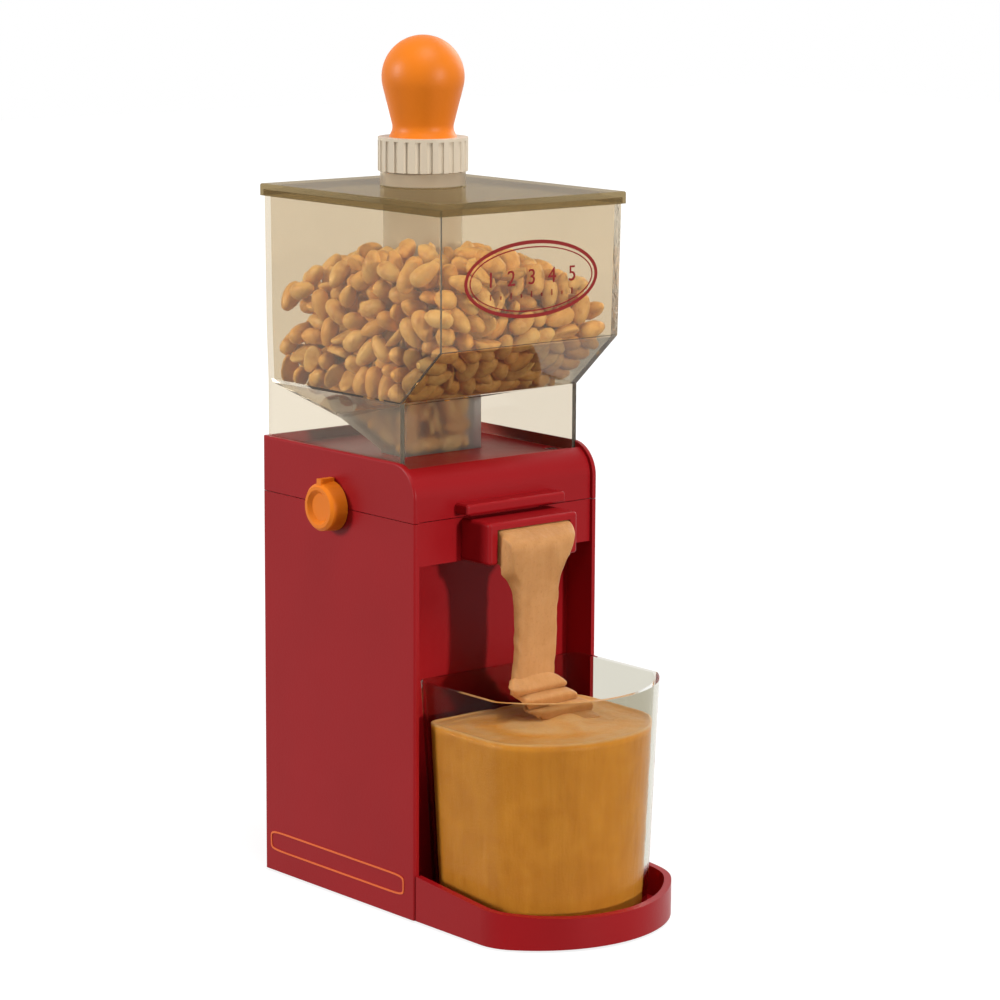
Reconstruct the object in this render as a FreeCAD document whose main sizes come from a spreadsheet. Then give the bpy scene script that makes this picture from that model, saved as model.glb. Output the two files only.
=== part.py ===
import FreeCAD, Part
import math
import os
import re

import PartDesign
import Sketcher

# Nut butter grinder, in millimetres. Every piece is drawn in the machine's own axes: x = 0 is its
# centre plane, y = 0 the front edge of the side panels (the front faces -Y), z = 0 the table. One
# shift then puts the middle of the whole footprint at the origin.

DIMENSIONS = {
    # casing
    "body_width": 98.0,
    "body_depth": 103.3,
    "body_height": 190.7,
    "auger_drop": 33.7,
    "seam_rise": 10.3,
    "seam_reveal": 0.3,
    "shell": 2.4,
    "foot_stand": 1.0,
    "edge_round": 1.0,
    "front_round": 14.0,
    "fascia_set": 1.5,
    "bay_depth": 16.0,
    "bay_drop": 8.0,
    "deck_drop": 4.4,
    "deck_lip": 1.5,
    "crown_drop": 1.2,
    "band_start": 8.5,
    "band_end": 14.0,
    "band_drop": 3.4,
    "post_side": 8.0,
    "rib_reach": 4.0,
    "rib_thick": 2.0,
    "hood_half": 26.5,
    "hood_reach": 6.0,
    "hood_lift": 1.5,
    "hood_thick": 4.6,
    "hood_round": 1.2,
    "fit_gap": 0.3,
    "run_gap": 0.06,
    # vents and cord inlet in the rear wall
    "vent_half": 30.0,
    "vent_slot": 3.0,
    "vent_pitch": 7.0,
    "vent_low": 60.0,
    "vent_rows": 6.0,
    "inlet_x": 28.0,
    "inlet_height": 24.0,
    "inlet_radius": 6.0,
    "cord_radius": 3.5,
    "bush_length": 12.0,
    "bush_brim": 2.0,
    "terminal_wide": 20.0,
    "terminal_deep": 12.0,
    "terminal_high": 10.0,
    "terminal_pitch": 6.0,
    # base tray and feet
    "tray_step": 0.5,
    "tray_bow": 8.5,
    "tray_front": 75.5,
    "tray_corner": 20.0,
    "tray_wall": 3.0,
    "tray_floor": 3.0,
    "rim_back": 20.0,
    "rim_front": 13.5,
    "foot_radius": 6.0,
    "foot_recess": 1.0,
    "foot_inset": 12.0,
    # cup
    "cup_side_gap": 2.6,
    "cup_front_gap": 3.0,
    "cup_back": 6.0,
    "cup_rim": 101.0,
    "cup_draft": 4.0,
    "cup_wall": 2.0,
    "cup_floor": 2.5,
    "cup_corner": 6.0,
    # hopper
    "hopper_wall": 2.2,
    "fold_rise": 47.3,
    "fold_step": 1.8,
    "fold_front": 13.9,
    "fold_inset": 0.7,
    "low_rise": 24.2,
    "low_front": 11.6,
    "neck_half": 20.4,
    "neck_inset": 18.3,
    "neck_run": 43.0,
    "neck_rise": 17.3,
    "neck_fall": 10.5,
    "outlet_run": 15.5,
    "knee_drop": 3.2,
    "outlet_drop": 8.7,
    # lid
    "lid_side": 0.5,
    "lid_front": 16.3,
    "lid_over": 0.8,
    "lid_rise": 106.9,
    "lid_plate": 2.5,
    "lid_skirt": 5.0,
    "lid_wall": 1.3,
    "lid_round": 0.8,
    "chute_inset": 47.2,
    "collar_radius": 17.9,
    "collar_wall": 1.4,
    "collar_rise": 5.9,
    # pusher
    "cap_radius": 18.9,
    "cap_rise": 14.0,
    "cap_flutes": 24.0,
    "flute_radius": 1.3,
    "flute_stop": 1.2,
    "cap_wall": 2.6,
    "tube_gap": 0.4,
    "tube_wall": 1.8,
    "tube_reach": 35.6,
    "tube_seat": 4.0,
    "ball_radius": 17.3,
    "ball_rise": 24.9,
    "waist_radius": 12.5,
    "waist_rise": 3.6,
    "waist_round": 5.0,
    "flare_radius": 14.2,
    # control knob and switch
    "knob_inset": 48.9,
    "knob_radius": 10.5,
    "knob_proud": 8.0,
    "knob_dish": 1.6,
    "knob_taper": 0.6,
    "knob_chamfer": 1.2,
    "knob_rim": 1.4,
    "knob_face": 2.0,
    "pointer_half": 1.4,
    "pointer_length": 4.4,
    "stem_radius": 3.0,
    "bezel_radius": 5.0,
    "switch_side": 16.0,
    "switch_deep": 15.0,
    "tag_length": 6.0,
    "tag_half": 3.0,
    "tag_thick": 1.0,
    # spout and grinding chamber
    "nozzle_half": 23.6,
    "nozzle_reach": 17.0,
    "nozzle_drop": 7.6,
    "nozzle_rise": 9.9,
    "nozzle_round": 1.5,
    "slot_half": 19.5,
    "slot_rise": 6.9,
    "slot_depth": 10.0,
    "duct_half": 18.5,
    "duct_rise": 6.0,
    "duct_wall": 2.0,
    "flange_half": 20.0,
    "flange_plate": 3.0,
    "rear_flange": 5.0,
    "outlet_radius": 4.0,
    "chamber_bore": 14.5,
    "chamber_wall": 3.0,
    "chamber_gap": 3.6,
    "chamber_inset": 4.0,
    "throat_half": 12.5,
    "throat_wall": 2.0,
    "burr_length": 8.5,
    "burr_gap": 0.5,
    "burr_nose": 8.0,
    "burr_rear": 12.4,
    "groove_wide": 1.2,
    "groove_deep": 0.8,
    "fixed_grooves": 12.0,
    "turning_grooves": 10.0,
    "seal_radius": 8.0,
    "seal_length": 4.0,
    "auger_core": 5.5,
    "auger_neck": 5.0,
    "auger_pitch": 10.0,
    "flight_thick": 2.4,
    "hex_flats": 5.0,
    "socket_depth": 8.0,
    "auger_tail": 2.0,
    # gear train and motor
    "plate_inset": 35.3,
    "plate_thick": 2.5,
    "gear_bay": 17.5,
    "plate_drop": 91.0,
    "plate_rise": 15.0,
    "gear_module": 1.0,
    "wheel_teeth": 48.0,
    "idler_pinion_teeth": 14.0,
    "motor_pinion_teeth": 12.0,
    "tooth_backlash": 0.3,
    "gear_width": 5.0,
    "pinion_over": 0.5,
    "web_ring": 15.0,
    "web_hole": 4.0,
    "web_holes": 6.0,
    "shaft_radius": 4.0,
    "bush_wall": 2.0,
    "bush_stand": 2.4,
    "shaft_tail": 1.0,
    "pillar_x": 36.0,
    "pillar_drop": 7.0,
    "pillar_pitch": 70.0,
    "pillar_wall": 2.0,
    "pin_radius": 3.0,
    "motor_radius": 25.0,
    "motor_inset": 9.6,
    "motor_wall": 1.5,
    "motor_shaft_radius": 2.5,
    "magnet_thick": 3.0,
    "magnet_front": 5.0,
    "magnet_rear": 8.0,
    "magnet_gap": 7.0,
    "air_gap": 0.8,
    "can_floor": 2.0,
    "bearing_wall": 2.0,
    "motor_screw_x": 14.0,
    "cap_vent_near": 8.0,
    "cap_vent_far": 16.0,
    "cap_vent_half": 14.0,
    "commutator_radius": 7.0,
    "armature_slots": 8.0,
    "armature_slot_half": 1.5,
    "armature_slot_deep": 5.0,
    "fan_radius": 20.0,
    "fan_blades": 7.0,
    "fan_disc": 1.0,
    "fan_gap": 1.0,
    "hub_wall": 3.0,
    "blade_half": 0.6,
    # fasteners
    "screw_radius": 1.6,
    "screw_head": 3.0,
    "screw_head_rise": 1.8,
    "screw_length": 12.0,
    "screw_bite": 10.0,
    "screw_margin": 1.0,
    "flat_head_rise": 1.2,
    "recess_width": 0.7,
}

# Sizes that follow from the driving dimensions, as expressions on their names.
DERIVED = {
    "half": "body_width / 2",
    "inner": "half - shell",
    "rear": "body_depth - shell",
    "auger_height": "body_height - auger_drop",
    "seam_height": "auger_height + seam_rise",
    "bay_height": "auger_height - bay_drop",
    "hood_low": "seam_height + hood_lift",
    "hood_high": "hood_low + hood_thick",
    "tray_half": "half - tray_step",
    "tray_arc": "tray_half + tray_bow",
    "lower_top": "seam_height - seam_reveal",
    "floor_top": "foot_stand + tray_floor",
    "bay_wall": "bay_depth + shell",
    "deck": "body_height - deck_drop",
    "ceiling": "deck - shell",
    "crown": "body_height - crown_drop",
    "shelf": "bay_height + shell",
    "low_back": "body_depth - deck_lip - fit_gap",
    "low_half": "half - deck_lip - fit_gap",
    "arc_centre": "tray_arc - tray_front",
    "cup_low": "floor_top + fit_gap",
    "cup_half": "inner - cup_side_gap",
    "cup_arc": "tray_arc - tray_wall - cup_front_gap",
    "fold_height": "body_height + fold_rise",
    "fold_half": "half - fold_step",
    "fold_back": "body_depth - fold_inset",
    "low_height": "body_height + low_rise",
    "neck_back": "body_depth - neck_inset",
    "neck_front": "neck_back - neck_run",
    "neck_outlet": "neck_front + outlet_run",
    "neck_top": "body_height + neck_rise",
    "neck_knee": "body_height - knee_drop",
    "neck_bottom": "body_height - outlet_drop",
    "neck_slant": "sqrt(neck_fall ^ 2 + neck_run ^ 2)",
    "lid_half": "half + lid_side",
    "lid_back": "body_depth + lid_over",
    "lid_top": "body_height + lid_rise",
    "lid_under": "lid_top - lid_plate",
    "hopper_top": "lid_under - fit_gap",
    "rim_half": "lid_half - lid_wall - fit_gap",
    "rim_fore": "lid_front - lid_wall - fit_gap",
    "rim_aft": "lid_back - lid_wall - fit_gap",
    "collar_top": "lid_top + collar_rise",
    "chute_y": "body_depth - chute_inset",
    "chute_bore": "collar_radius - collar_wall",
    "tube_radius": "chute_bore - tube_gap",
    "cap_low": "collar_top + fit_gap",
    "cap_top": "cap_low + cap_rise",
    "tube_low": "lid_top - tube_reach",
    "knob_y": "body_depth - knob_inset",
    "nozzle_low": "auger_height - nozzle_drop",
    "nozzle_high": "auger_height + nozzle_rise",
    "slot_high": "auger_height + slot_rise",
    "duct_high": "auger_height + duct_rise",
    "chamber_front": "bay_wall + chamber_gap",
    "chamber_back": "plate_front - chamber_inset",
    "plate_front": "body_depth - plate_inset",
    "plate_low": "auger_height - plate_drop",
    "plate_high": "auger_height + plate_rise",
    "pillar_high": "auger_height - pillar_drop",
    "pillar_low": "pillar_high - pillar_pitch",
    "plate_rear": "plate_front + plate_thick + gear_bay",
    "gear_front": "plate_front + plate_thick + fit_gap",
    "idler_height": "auger_height - gear_module * (wheel_teeth + idler_pinion_teeth) / 2",
    "motor_height": "idler_height - gear_module * (wheel_teeth + motor_pinion_teeth) / 2",
    "output_start": "gear_front + bush_stand",
    "output_end": "output_start + gear_width",
    "idler_wheel_start": "output_end + 4 * fit_gap",
    "idler_wheel_end": "idler_wheel_start + gear_width",
    "motor_rear": "plate_front",
    "motor_front": "bay_wall + motor_inset",
    "cap_front": "motor_front - flange_plate",
    "fan_start": "bay_wall + 4 * fit_gap",
    "bearing_radius": "motor_shaft_radius + bearing_wall",
    "seal_start": "chamber_back - seal_length",
    "auger_end": "chamber_back + auger_tail",
    "flange_low": "auger_height - flange_half",
    "flange_high": "auger_height + flange_half",
    "chamber_radius": "chamber_bore + chamber_wall",
    "throat_top": "neck_bottom - fit_gap",
    "bush_radius": "shaft_radius + bush_wall",
    "guide_low": "plate_low - fit_gap",
    "centre_x": "(half + knob_proud - lid_half) / 2",
    "centre_y": "(tray_front - body_depth - bush_brim) / 2",
}

WORD = re.compile(r"[a-z]\w*")

doc = FreeCAD.newDocument("NutButterGrinder")
sheet = doc.addObject("Spreadsheet::Sheet", "Dims")
for row, (alias, size) in enumerate(DIMENSIONS.items(), start=1):
    sheet.set(f"A{row}", alias.replace("_", " "))
    sheet.set(f"B{row}", str(size))
    sheet.setAlias(f"B{row}", alias)
doc.recompute()

pieces = []


def bound(text):
    """The expression with every size named in it written as a cell of the sheet."""

    def cell(match):
        name = match.group(0)
        if name in DERIVED:
            return f"({bound(DERIVED[name])})"
        if name in DIMENSIONS:
            return f"Dims.{name}"
        return name

    return WORD.sub(cell, str(text))


def size(text):
    """The present value of an expression."""
    return float(sheet.evalExpression(bound(text)))


def point(x, y, z):
    return FreeCAD.Vector(size(x), size(y), size(z))


def settle(piece, name, at=("0", "0", "0")):
    """Give a sub-part its name and put its own origin at a place on the machine."""
    piece.Label = name
    piece.setExpression("Placement.Base.x", bound(f"centre_x + {at[0]}"))
    piece.setExpression("Placement.Base.y", bound(f"centre_y + {at[1]}"))
    piece.setExpression("Placement.Base.z", bound(at[2]))
    pieces.append(piece)
    return piece


def new_body(name, at=("0", "0", "0")):
    return settle(doc.addObject("PartDesign::Body", name), name, at)


def shaped(name, shape, at=("0", "0", "0")):
    """A sub-part whose form no sketch feature gives, such as a gear or a screw flight."""
    piece = doc.addObject("Part::Feature", name)
    piece.Shape = shape
    settle(piece, name, at)
    doc.recompute()
    return piece


def new_sketch(body, name, plane, offset):
    """A sketch on one of the body's own origin planes, moved along that plane's normal."""
    sketch = body.newObject("Sketcher::SketchObject", name)
    support = next(item for item in body.Origin.OriginFeatures if item.Role == plane)
    sketch.AttachmentSupport = (support, [""])
    sketch.MapMode = "FlatFace"
    sketch.setExpression("AttachmentOffset.Base.z", bound(offset))
    return sketch


def tilted_sketch(body, name):
    """A sketch on the slanted plane where the funnel meets the neck, with its y along the slope."""
    sketch = new_sketch(body, name, "XY_Plane", "neck_top")
    tilt = FreeCAD.Rotation(FreeCAD.Vector(-1, 0, 0), 1)
    sketch.AttachmentOffset = FreeCAD.Placement(FreeCAD.Vector(), tilt)
    sketch.setExpression("AttachmentOffset.Base.y", bound("neck_front"))
    sketch.setExpression("AttachmentOffset.Rotation.Angle", bound("atan(neck_fall / neck_run)"))
    return sketch


def dimension(sketch, text, kind, *ends):
    """A driving dimension whose value is an expression on the sheet."""
    number = sketch.addConstraint(Sketcher.Constraint(kind, *ends, size(text)))
    sketch.setExpression(f"Constraints[{number}]", bound(text))


def pin_point(sketch, element, vertex, x, y):
    """Tie one point of a sketch to its place on the sheet."""
    for kind, place, axis in (("DistanceX", x, -2), ("DistanceY", y, -1)):
        if place == "0":
            sketch.addConstraint(Sketcher.Constraint("PointOnObject", element, vertex, axis))
        else:
            dimension(sketch, place, kind, -1, 1, element, vertex)


def add_line(sketch, start, end):
    first = FreeCAD.Vector(start[0], start[1], 0)
    return sketch.addGeometry(Part.LineSegment(first, FreeCAD.Vector(end[0], end[1], 0)))


def join(sketch, first, first_end, second, second_end):
    sketch.addConstraint(Sketcher.Constraint("Coincident", first, first_end, second, second_end))


def polygon(corners):
    """A closed outline through the corners."""

    def draw(sketch):
        spots = [(size(x), size(y)) for x, y in corners]
        sides = [add_line(sketch, a, b) for a, b in zip(spots, spots[1:] + spots[:1])]
        for side, following in zip(sides, sides[1:] + sides[:1]):
            join(sketch, side, 2, following, 1)
        for side, (x, y) in zip(sides, corners):
            pin_point(sketch, side, 1, x, y)

    return draw


def rectangle(left, right, low, high):
    return polygon([(left, low), (right, low), (right, high), (left, high)])


def both_sides(close, far, low, high):
    """A rectangle on each side of the centre plane."""
    return [
        rectangle(close, far, low, high),
        rectangle(f"-({far})", f"-({close})", low, high),
    ]


def box_outline(half, front, back, inset):
    """A rectangle about the centre plane with all four sides drawn in."""
    return rectangle(f"-{half} + {inset}", f"{half} - {inset}", f"{front} + {inset}", f"{back} - {inset}")


def disc(x, y, radius):
    def draw(sketch):
        centre = FreeCAD.Vector(size(x), size(y), 0)
        axis = FreeCAD.Vector(0, 0, 1)
        ring = sketch.addGeometry(Part.Circle(centre, axis, size(radius)))
        pin_point(sketch, ring, 3, x, y)
        dimension(sketch, radius, "Radius", ring)

    return draw


def bowed(side, back, centre, radius):
    """A flat back, two straight sides and one arc across the front."""

    def draw(sketch):
        wide, rear, middle, arc = size(side), size(back), size(centre), size(radius)
        fore = middle - math.sqrt(arc**2 - wide**2)
        turn = math.asin((middle - fore) / arc)
        back_line = add_line(sketch, (-wide, rear), (wide, rear))
        right = add_line(sketch, (wide, rear), (wide, fore))
        circle = Part.Circle(FreeCAD.Vector(0, middle, 0), FreeCAD.Vector(0, 0, 1), arc)
        front = sketch.addGeometry(Part.ArcOfCircle(circle, turn - math.pi, -turn))
        left = add_line(sketch, (-wide, fore), (-wide, rear))
        join(sketch, back_line, 2, right, 1)
        join(sketch, right, 2, front, 2)
        join(sketch, front, 1, left, 1)
        join(sketch, left, 2, back_line, 1)
        pin_point(sketch, back_line, 1, f"-({side})", back)
        pin_point(sketch, back_line, 2, side, back)
        sketch.addConstraint(Sketcher.Constraint("Vertical", right))
        sketch.addConstraint(Sketcher.Constraint("Vertical", left))
        pin_point(sketch, front, 3, "0", centre)
        dimension(sketch, radius, "Radius", front)

    return draw


def rounded_bow(side, back, centre, radius, corner):
    """The same outline with all four corners rounded."""

    def draw(sketch):
        wide, rear, middle = size(side), size(back), size(centre)
        arc, turn = size(radius), size(corner)
        inset = wide - turn
        fore = middle - math.sqrt((arc - turn) ** 2 - inset**2)
        lean = math.asin((middle - fore) / (arc - turn))
        quarter = math.pi / 2

        def curve(x, y, bend, start, end):
            circle = Part.Circle(FreeCAD.Vector(x, y, 0), FreeCAD.Vector(0, 0, 1), bend)
            return sketch.addGeometry(Part.ArcOfCircle(circle, start, end))

        back_line = add_line(sketch, (-inset, rear), (inset, rear))
        right = add_line(sketch, (wide, rear - turn), (wide, fore))
        left = add_line(sketch, (-wide, fore), (-wide, rear - turn))
        back_right = curve(inset, rear - turn, turn, 0, quarter)
        back_left = curve(-inset, rear - turn, turn, quarter, 2 * quarter)
        front_right = curve(inset, fore, turn, -lean, 0)
        front_left = curve(-inset, fore, turn, -2 * quarter, lean - 2 * quarter)
        front = curve(0, middle, arc, lean - 2 * quarter, -lean)
        touching = [
            (back_line, 2, back_right, 2),
            (back_right, 1, right, 1),
            (right, 2, front_right, 2),
            (front_right, 1, front, 2),
            (front, 1, front_left, 2),
            (front_left, 1, left, 1),
            (left, 2, back_left, 2),
            (back_left, 1, back_line, 1),
        ]
        for ends in touching:
            sketch.addConstraint(Sketcher.Constraint("Tangent", *ends))
        dimension(sketch, back, "DistanceY", -1, 1, back_line, 1)
        dimension(sketch, side, "DistanceX", -1, 1, right, 1)
        dimension(sketch, f"-({side})", "DistanceX", -1, 1, left, 1)
        sketch.addConstraint(Sketcher.Constraint("Horizontal", back_line))
        sketch.addConstraint(Sketcher.Constraint("Vertical", right))
        sketch.addConstraint(Sketcher.Constraint("Vertical", left))
        pin_point(sketch, front, 3, "0", centre)
        dimension(sketch, radius, "Radius", front)
        for bend in (back_right, back_left, front_right, front_left):
            dimension(sketch, corner, "Radius", bend)

    return draw


def draw_all(sketch, outlines):
    for outline in outlines:
        outline(sketch)
    doc.recompute()
    return sketch


def volume(body):
    return body.Shape.Volume if body.Tip else 0.0


def grow(body, name, plane, low, high, *outlines):
    """Add the outlines between two places on the axis that crosses the plane."""
    # The normal of the XZ plane points along -Y, so its sketch stands at the far side.
    start = f"-({high})" if plane == "XZ_Plane" else low
    sketch = draw_all(new_sketch(body, f"{name}_sketch", plane, start), outlines)
    before = volume(body)
    pad = body.newObject("PartDesign::Pad", name)
    pad.Profile = sketch
    pad.setExpression("Length", bound(f"({high}) - ({low})"))
    doc.recompute()
    if body.Shape.Volume <= before:
        raise RuntimeError(f"{name} adds nothing")
    return pad


def carve(body, name, plane, low, high, *outlines):
    """Take the outlines away between two places on the axis that crosses the plane."""
    start = f"-({low})" if plane == "XZ_Plane" else high
    sketch = draw_all(new_sketch(body, f"{name}_sketch", plane, start), outlines)
    before = volume(body)
    pocket = body.newObject("PartDesign::Pocket", name)
    pocket.Profile = sketch
    pocket.setExpression("Length", bound(f"({high}) - ({low})"))
    doc.recompute()
    if body.Shape.Volume >= before:
        raise RuntimeError(f"{name} cuts nothing")
    return pocket


def turned(body, sketch, axis):
    """Turn a sketch all the way round one of its own axes."""
    made = body.newObject("PartDesign::Revolution", "turned")
    made.Profile = sketch
    made.ReferenceAxis = (sketch, [axis])
    made.Angle = 360
    doc.recompute()


def repeat_round(body, name, feature, count):
    """Repeat a feature evenly round the normal of its own sketch."""
    ring = body.newObject("PartDesign::PolarPattern", name)
    ring.Originals = [feature]
    ring.Axis = (feature.Profile[0], ["N_Axis"])
    ring.Angle = 360
    ring.setExpression("Occurrences", bound(count))
    body.Tip = ring
    doc.recompute()


def loft(body, name, kind, levels):
    """Join outlines with ruled sides. Each lies at a height, or on the slant at the neck's top."""
    sketches = []
    for number, (level, outline) in enumerate(levels):
        label = f"{name}_level_{number}"
        if level == "slant":
            sketch = tilted_sketch(body, label)
        else:
            sketch = new_sketch(body, label, "XY_Plane", level)
        sketches.append(draw_all(sketch, [outline]))
    before = volume(body)
    made = body.newObject(f"PartDesign::{kind}Loft", name)
    made.Profile = sketches[0]
    made.Sections = sketches[1:]
    made.Ruled = True
    doc.recompute()
    if body.Shape.isNull() or abs(body.Shape.Volume - before) < 1:
        raise RuntimeError(f"{name} changes nothing")
    return made


def round_edges(body, name, radius, wanted):
    """Round the edges of the body's present shape that the test picks."""
    tip = body.Tip
    picked = [
        f"Edge{number}"
        for number, edge in enumerate(tip.Shape.Edges, start=1)
        if wanted(edge.Vertexes[0].Point, edge.Vertexes[-1].Point)
    ]
    if not picked:
        raise RuntimeError(f"{name} finds no edge")
    made = body.newObject("PartDesign::Fillet", name)
    made.Base = (tip, picked)
    made.setExpression("Radius", bound(radius))
    doc.recompute()
    return made


def near(a, b):
    return abs(a - b) < 0.01


def upright(a, b):
    return near(a.x, b.x) and near(a.y, b.y) and not near(a.z, b.z)


def along_x(y, z):
    """The test for an edge that runs across the machine at one place."""
    return lambda a, b: near(a.y, y) and near(b.y, y) and near(a.z, z) and near(b.z, z)


def corner_posts(inset="0"):
    """The four corner posts that take the screws, as rectangles in plan."""
    near_x = f"inner - post_side + {inset}"
    far_x = f"inner - {inset}"
    front = both_sides(near_x, far_x, f"bay_wall + {inset}", f"bay_wall + post_side - {inset}")
    back = both_sides(near_x, far_x, f"rear - post_side + {inset}", f"rear - {inset}")
    return front + back


POST_PLACES = [
    (f"{sign} * (inner - post_side / 2)", y)
    for sign in ("1", "-1")
    for y in ("bay_wall + post_side / 2", "rear - post_side / 2")
]


def post_holes(radius):
    return [disc(x, y, radius) for x, y in POST_PLACES]


# ---------------------------------------------------------------- casing


def knob_hole():
    """The round hole for the switch, half in each housing."""
    return disc("knob_y", "seam_height", "bezel_radius + fit_gap")


def make_lower_housing():
    body = new_body("lower_housing")
    block = rectangle("-half", "half", "0", "body_depth")
    grow(body, "block", "XY_Plane", "foot_stand", "lower_top", block)
    outer_x, outer_y = size("half"), size("body_depth")
    round_edges(
        body,
        "corners",
        "edge_round",
        lambda a, b: upright(a, b) and near(abs(a.x), outer_x) and a.y in (0.0, outer_y),
    )
    bay = [
        ("-shell", "0"),
        ("bay_depth", "0"),
        ("bay_depth", "bay_height"),
        ("fascia_set", "bay_height"),
        ("fascia_set", "body_height"),
        ("-shell", "body_height"),
    ]
    carve(body, "cup_bay", "YZ_Plane", "-inner", "inner", polygon(bay))
    inside = [
        ("bay_wall", "0"),
        ("rear", "0"),
        ("rear", "body_height"),
        ("fascia_set + shell", "body_height"),
        ("fascia_set + shell", "shelf"),
        ("bay_wall", "shelf"),
    ]
    carve(body, "inside", "YZ_Plane", "-inner", "inner", polygon(inside))
    under = rectangle("-inner", "inner", "-shell", "rear")
    carve(body, "plate_seat", "XY_Plane", "0", "floor_top + fit_gap", under)
    grow(body, "posts", "XY_Plane", "floor_top + fit_gap", "lower_top", *corner_posts())
    reach = "(screw_length + fit_gap)"
    bottom = "floor_top + fit_gap"
    bores = post_holes("screw_radius")
    carve(body, "base_holes", "XY_Plane", bottom, f"{bottom} + {reach}", *bores)
    carve(body, "deck_holes", "XY_Plane", f"lower_top - {reach}", "lower_top", *bores)
    ribs, stops = [], []
    root = "inner - rib_reach"
    for plate in ("plate_front", "plate_rear"):
        ahead = f"{plate} - fit_gap"
        behind = f"{plate} + plate_thick + fit_gap"
        ribs += both_sides(root, "inner", f"{ahead} - rib_thick", ahead)
        ribs += both_sides(root, "inner", behind, f"{behind} + rib_thick")
        stops += both_sides(root, "inner", f"{ahead} - rib_thick", f"{behind} + rib_thick")
    grow(body, "plate_guides", "XY_Plane", "guide_low", "lower_top", *ribs)
    grow(body, "plate_stops", "XY_Plane", "guide_low - rib_thick", "guide_low", *stops)
    notch = rectangle("-duct_half - fit_gap", "duct_half + fit_gap", "-shell", "fascia_set + 2 * shell")
    carve(body, "duct_notch", "XY_Plane", "shelf", "body_height", notch)
    carve(body, "knob_hole", "YZ_Plane", "-half", "-inner", knob_hole())
    inlet = disc("inlet_x", "inlet_height", "inlet_radius + fit_gap")
    carve(body, "inlet_hole", "XZ_Plane", "rear", "body_depth", inlet)
    slot = rectangle("-vent_half", "vent_half", "vent_low", "vent_low + vent_slot")
    first_slot = carve(body, "vent", "XZ_Plane", "rear", "body_depth", slot)
    rows = body.newObject("PartDesign::LinearPattern", "vents")
    rows.Originals = [first_slot]
    rows.Direction = (first_slot.Profile[0], ["V_Axis"])
    rows.setExpression("Length", bound("vent_pitch * (vent_rows - 1)"))
    rows.setExpression("Occurrences", bound("vent_rows"))
    body.Tip = rows
    doc.recompute()


def make_upper_housing():
    body = new_body("upper_housing")
    crown = rectangle("-inner", "inner", "fascia_set", "body_depth")
    grow(body, "crown_block", "XY_Plane", "seam_height", "crown", crown)
    round_edges(body, "crown_round", "front_round - fascia_set", along_x(size("fascia_set"), size("crown")))
    panels = both_sides("inner", "half", "0", "body_depth")
    grow(body, "side_panels", "XY_Plane", "seam_height", "body_height", *panels)
    rear_panel = rectangle("-inner", "inner", "rear", "body_depth")
    grow(body, "rear_panel", "XY_Plane", "seam_height", "body_height", rear_panel)
    round_edges(body, "panel_round", "front_round", along_x(0, size("body_height")))
    outer_x, seam = size("half"), size("seam_height")
    round_edges(
        body,
        "panel_edges",
        "edge_round",
        lambda a, b: near(abs(a.x), outer_x) and near(a.x, b.x) and not near(max(a.z, b.z), seam),
    )
    deck_half = "half - deck_lip"
    deck_area = rectangle(f"-({deck_half})", deck_half, "band_end", "body_depth - deck_lip")
    carve(body, "deck_recess", "XY_Plane", "deck", "body_height", deck_area)
    band = rectangle("-inner", "inner", "band_start", "band_end + shell")
    carve(body, "deck_band", "XY_Plane", "body_height - band_drop", "body_height", band)
    skirt_inner, skirt_outer = "low_half - hopper_wall - fit_gap", "low_half + fit_gap"
    slots = both_sides(skirt_inner, skirt_outer, "low_front - fit_gap", "band_end + shell")
    carve(body, "skirt_slots", "XY_Plane", "deck", "body_height", *slots)
    hood = rectangle("-hood_half", "hood_half", "-hood_reach", "fascia_set + shell / 2")
    grow(body, "hood", "XY_Plane", "hood_low", "hood_high", hood)
    reach = -size("hood_reach")
    round_edges(body, "hood_round", "hood_round", lambda a, b: near(a.y, reach) or near(b.y, reach))
    inside = rectangle("-inner", "inner", "fascia_set + shell", "rear")
    carve(body, "inside", "XY_Plane", "seam_height", "hood_high", inside)
    upper_inside = rectangle("-inner", "inner", "front_round - 2 * shell", "rear")
    carve(body, "upper_inside", "XY_Plane", "hood_high", "ceiling", upper_inside)
    tongue = rectangle("-duct_half", "duct_half", "fascia_set", "fascia_set + shell")
    grow(body, "duct_tongue", "XY_Plane", "duct_high + fit_gap", "seam_height + shell", tongue)
    grow(body, "posts", "XY_Plane", "seam_height", "ceiling", *corner_posts())
    carve(body, "screw_holes", "XY_Plane", "seam_height", "deck", *post_holes("screw_radius + fit_gap"))
    sink = "(screw_head_rise + fit_gap)"
    seats = post_holes("screw_head + fit_gap")
    carve(body, "screw_seats", "XY_Plane", f"deck - {sink}", "deck", *seats)
    throat = box_outline("neck_half", "neck_front", "neck_outlet", "(-fit_gap)")
    carve(body, "neck_hole", "XY_Plane", "ceiling", "deck", throat)
    carve(body, "knob_hole", "YZ_Plane", "-half", "-inner", knob_hole())


def foot_places():
    """The two feet under the cup and the two at the rear."""
    side = "inner - foot_inset"
    for x in (side, f"-({side})"):
        for y in ("arc_centre - 2 * foot_inset", "rear - foot_inset"):
            yield x, y


def round_bow(body, name, side, radius, corner):
    """Round the two upright edges where the straight sides of a bowed outline meet its bow."""
    side_x = size(side)
    front_y = size("arc_centre") - math.sqrt(size(radius) ** 2 - side_x**2)

    def wanted(a, b):
        return upright(a, b) and near(abs(a.x), side_x) and near(a.y, front_y)

    round_edges(body, name, corner, wanted)


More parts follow.
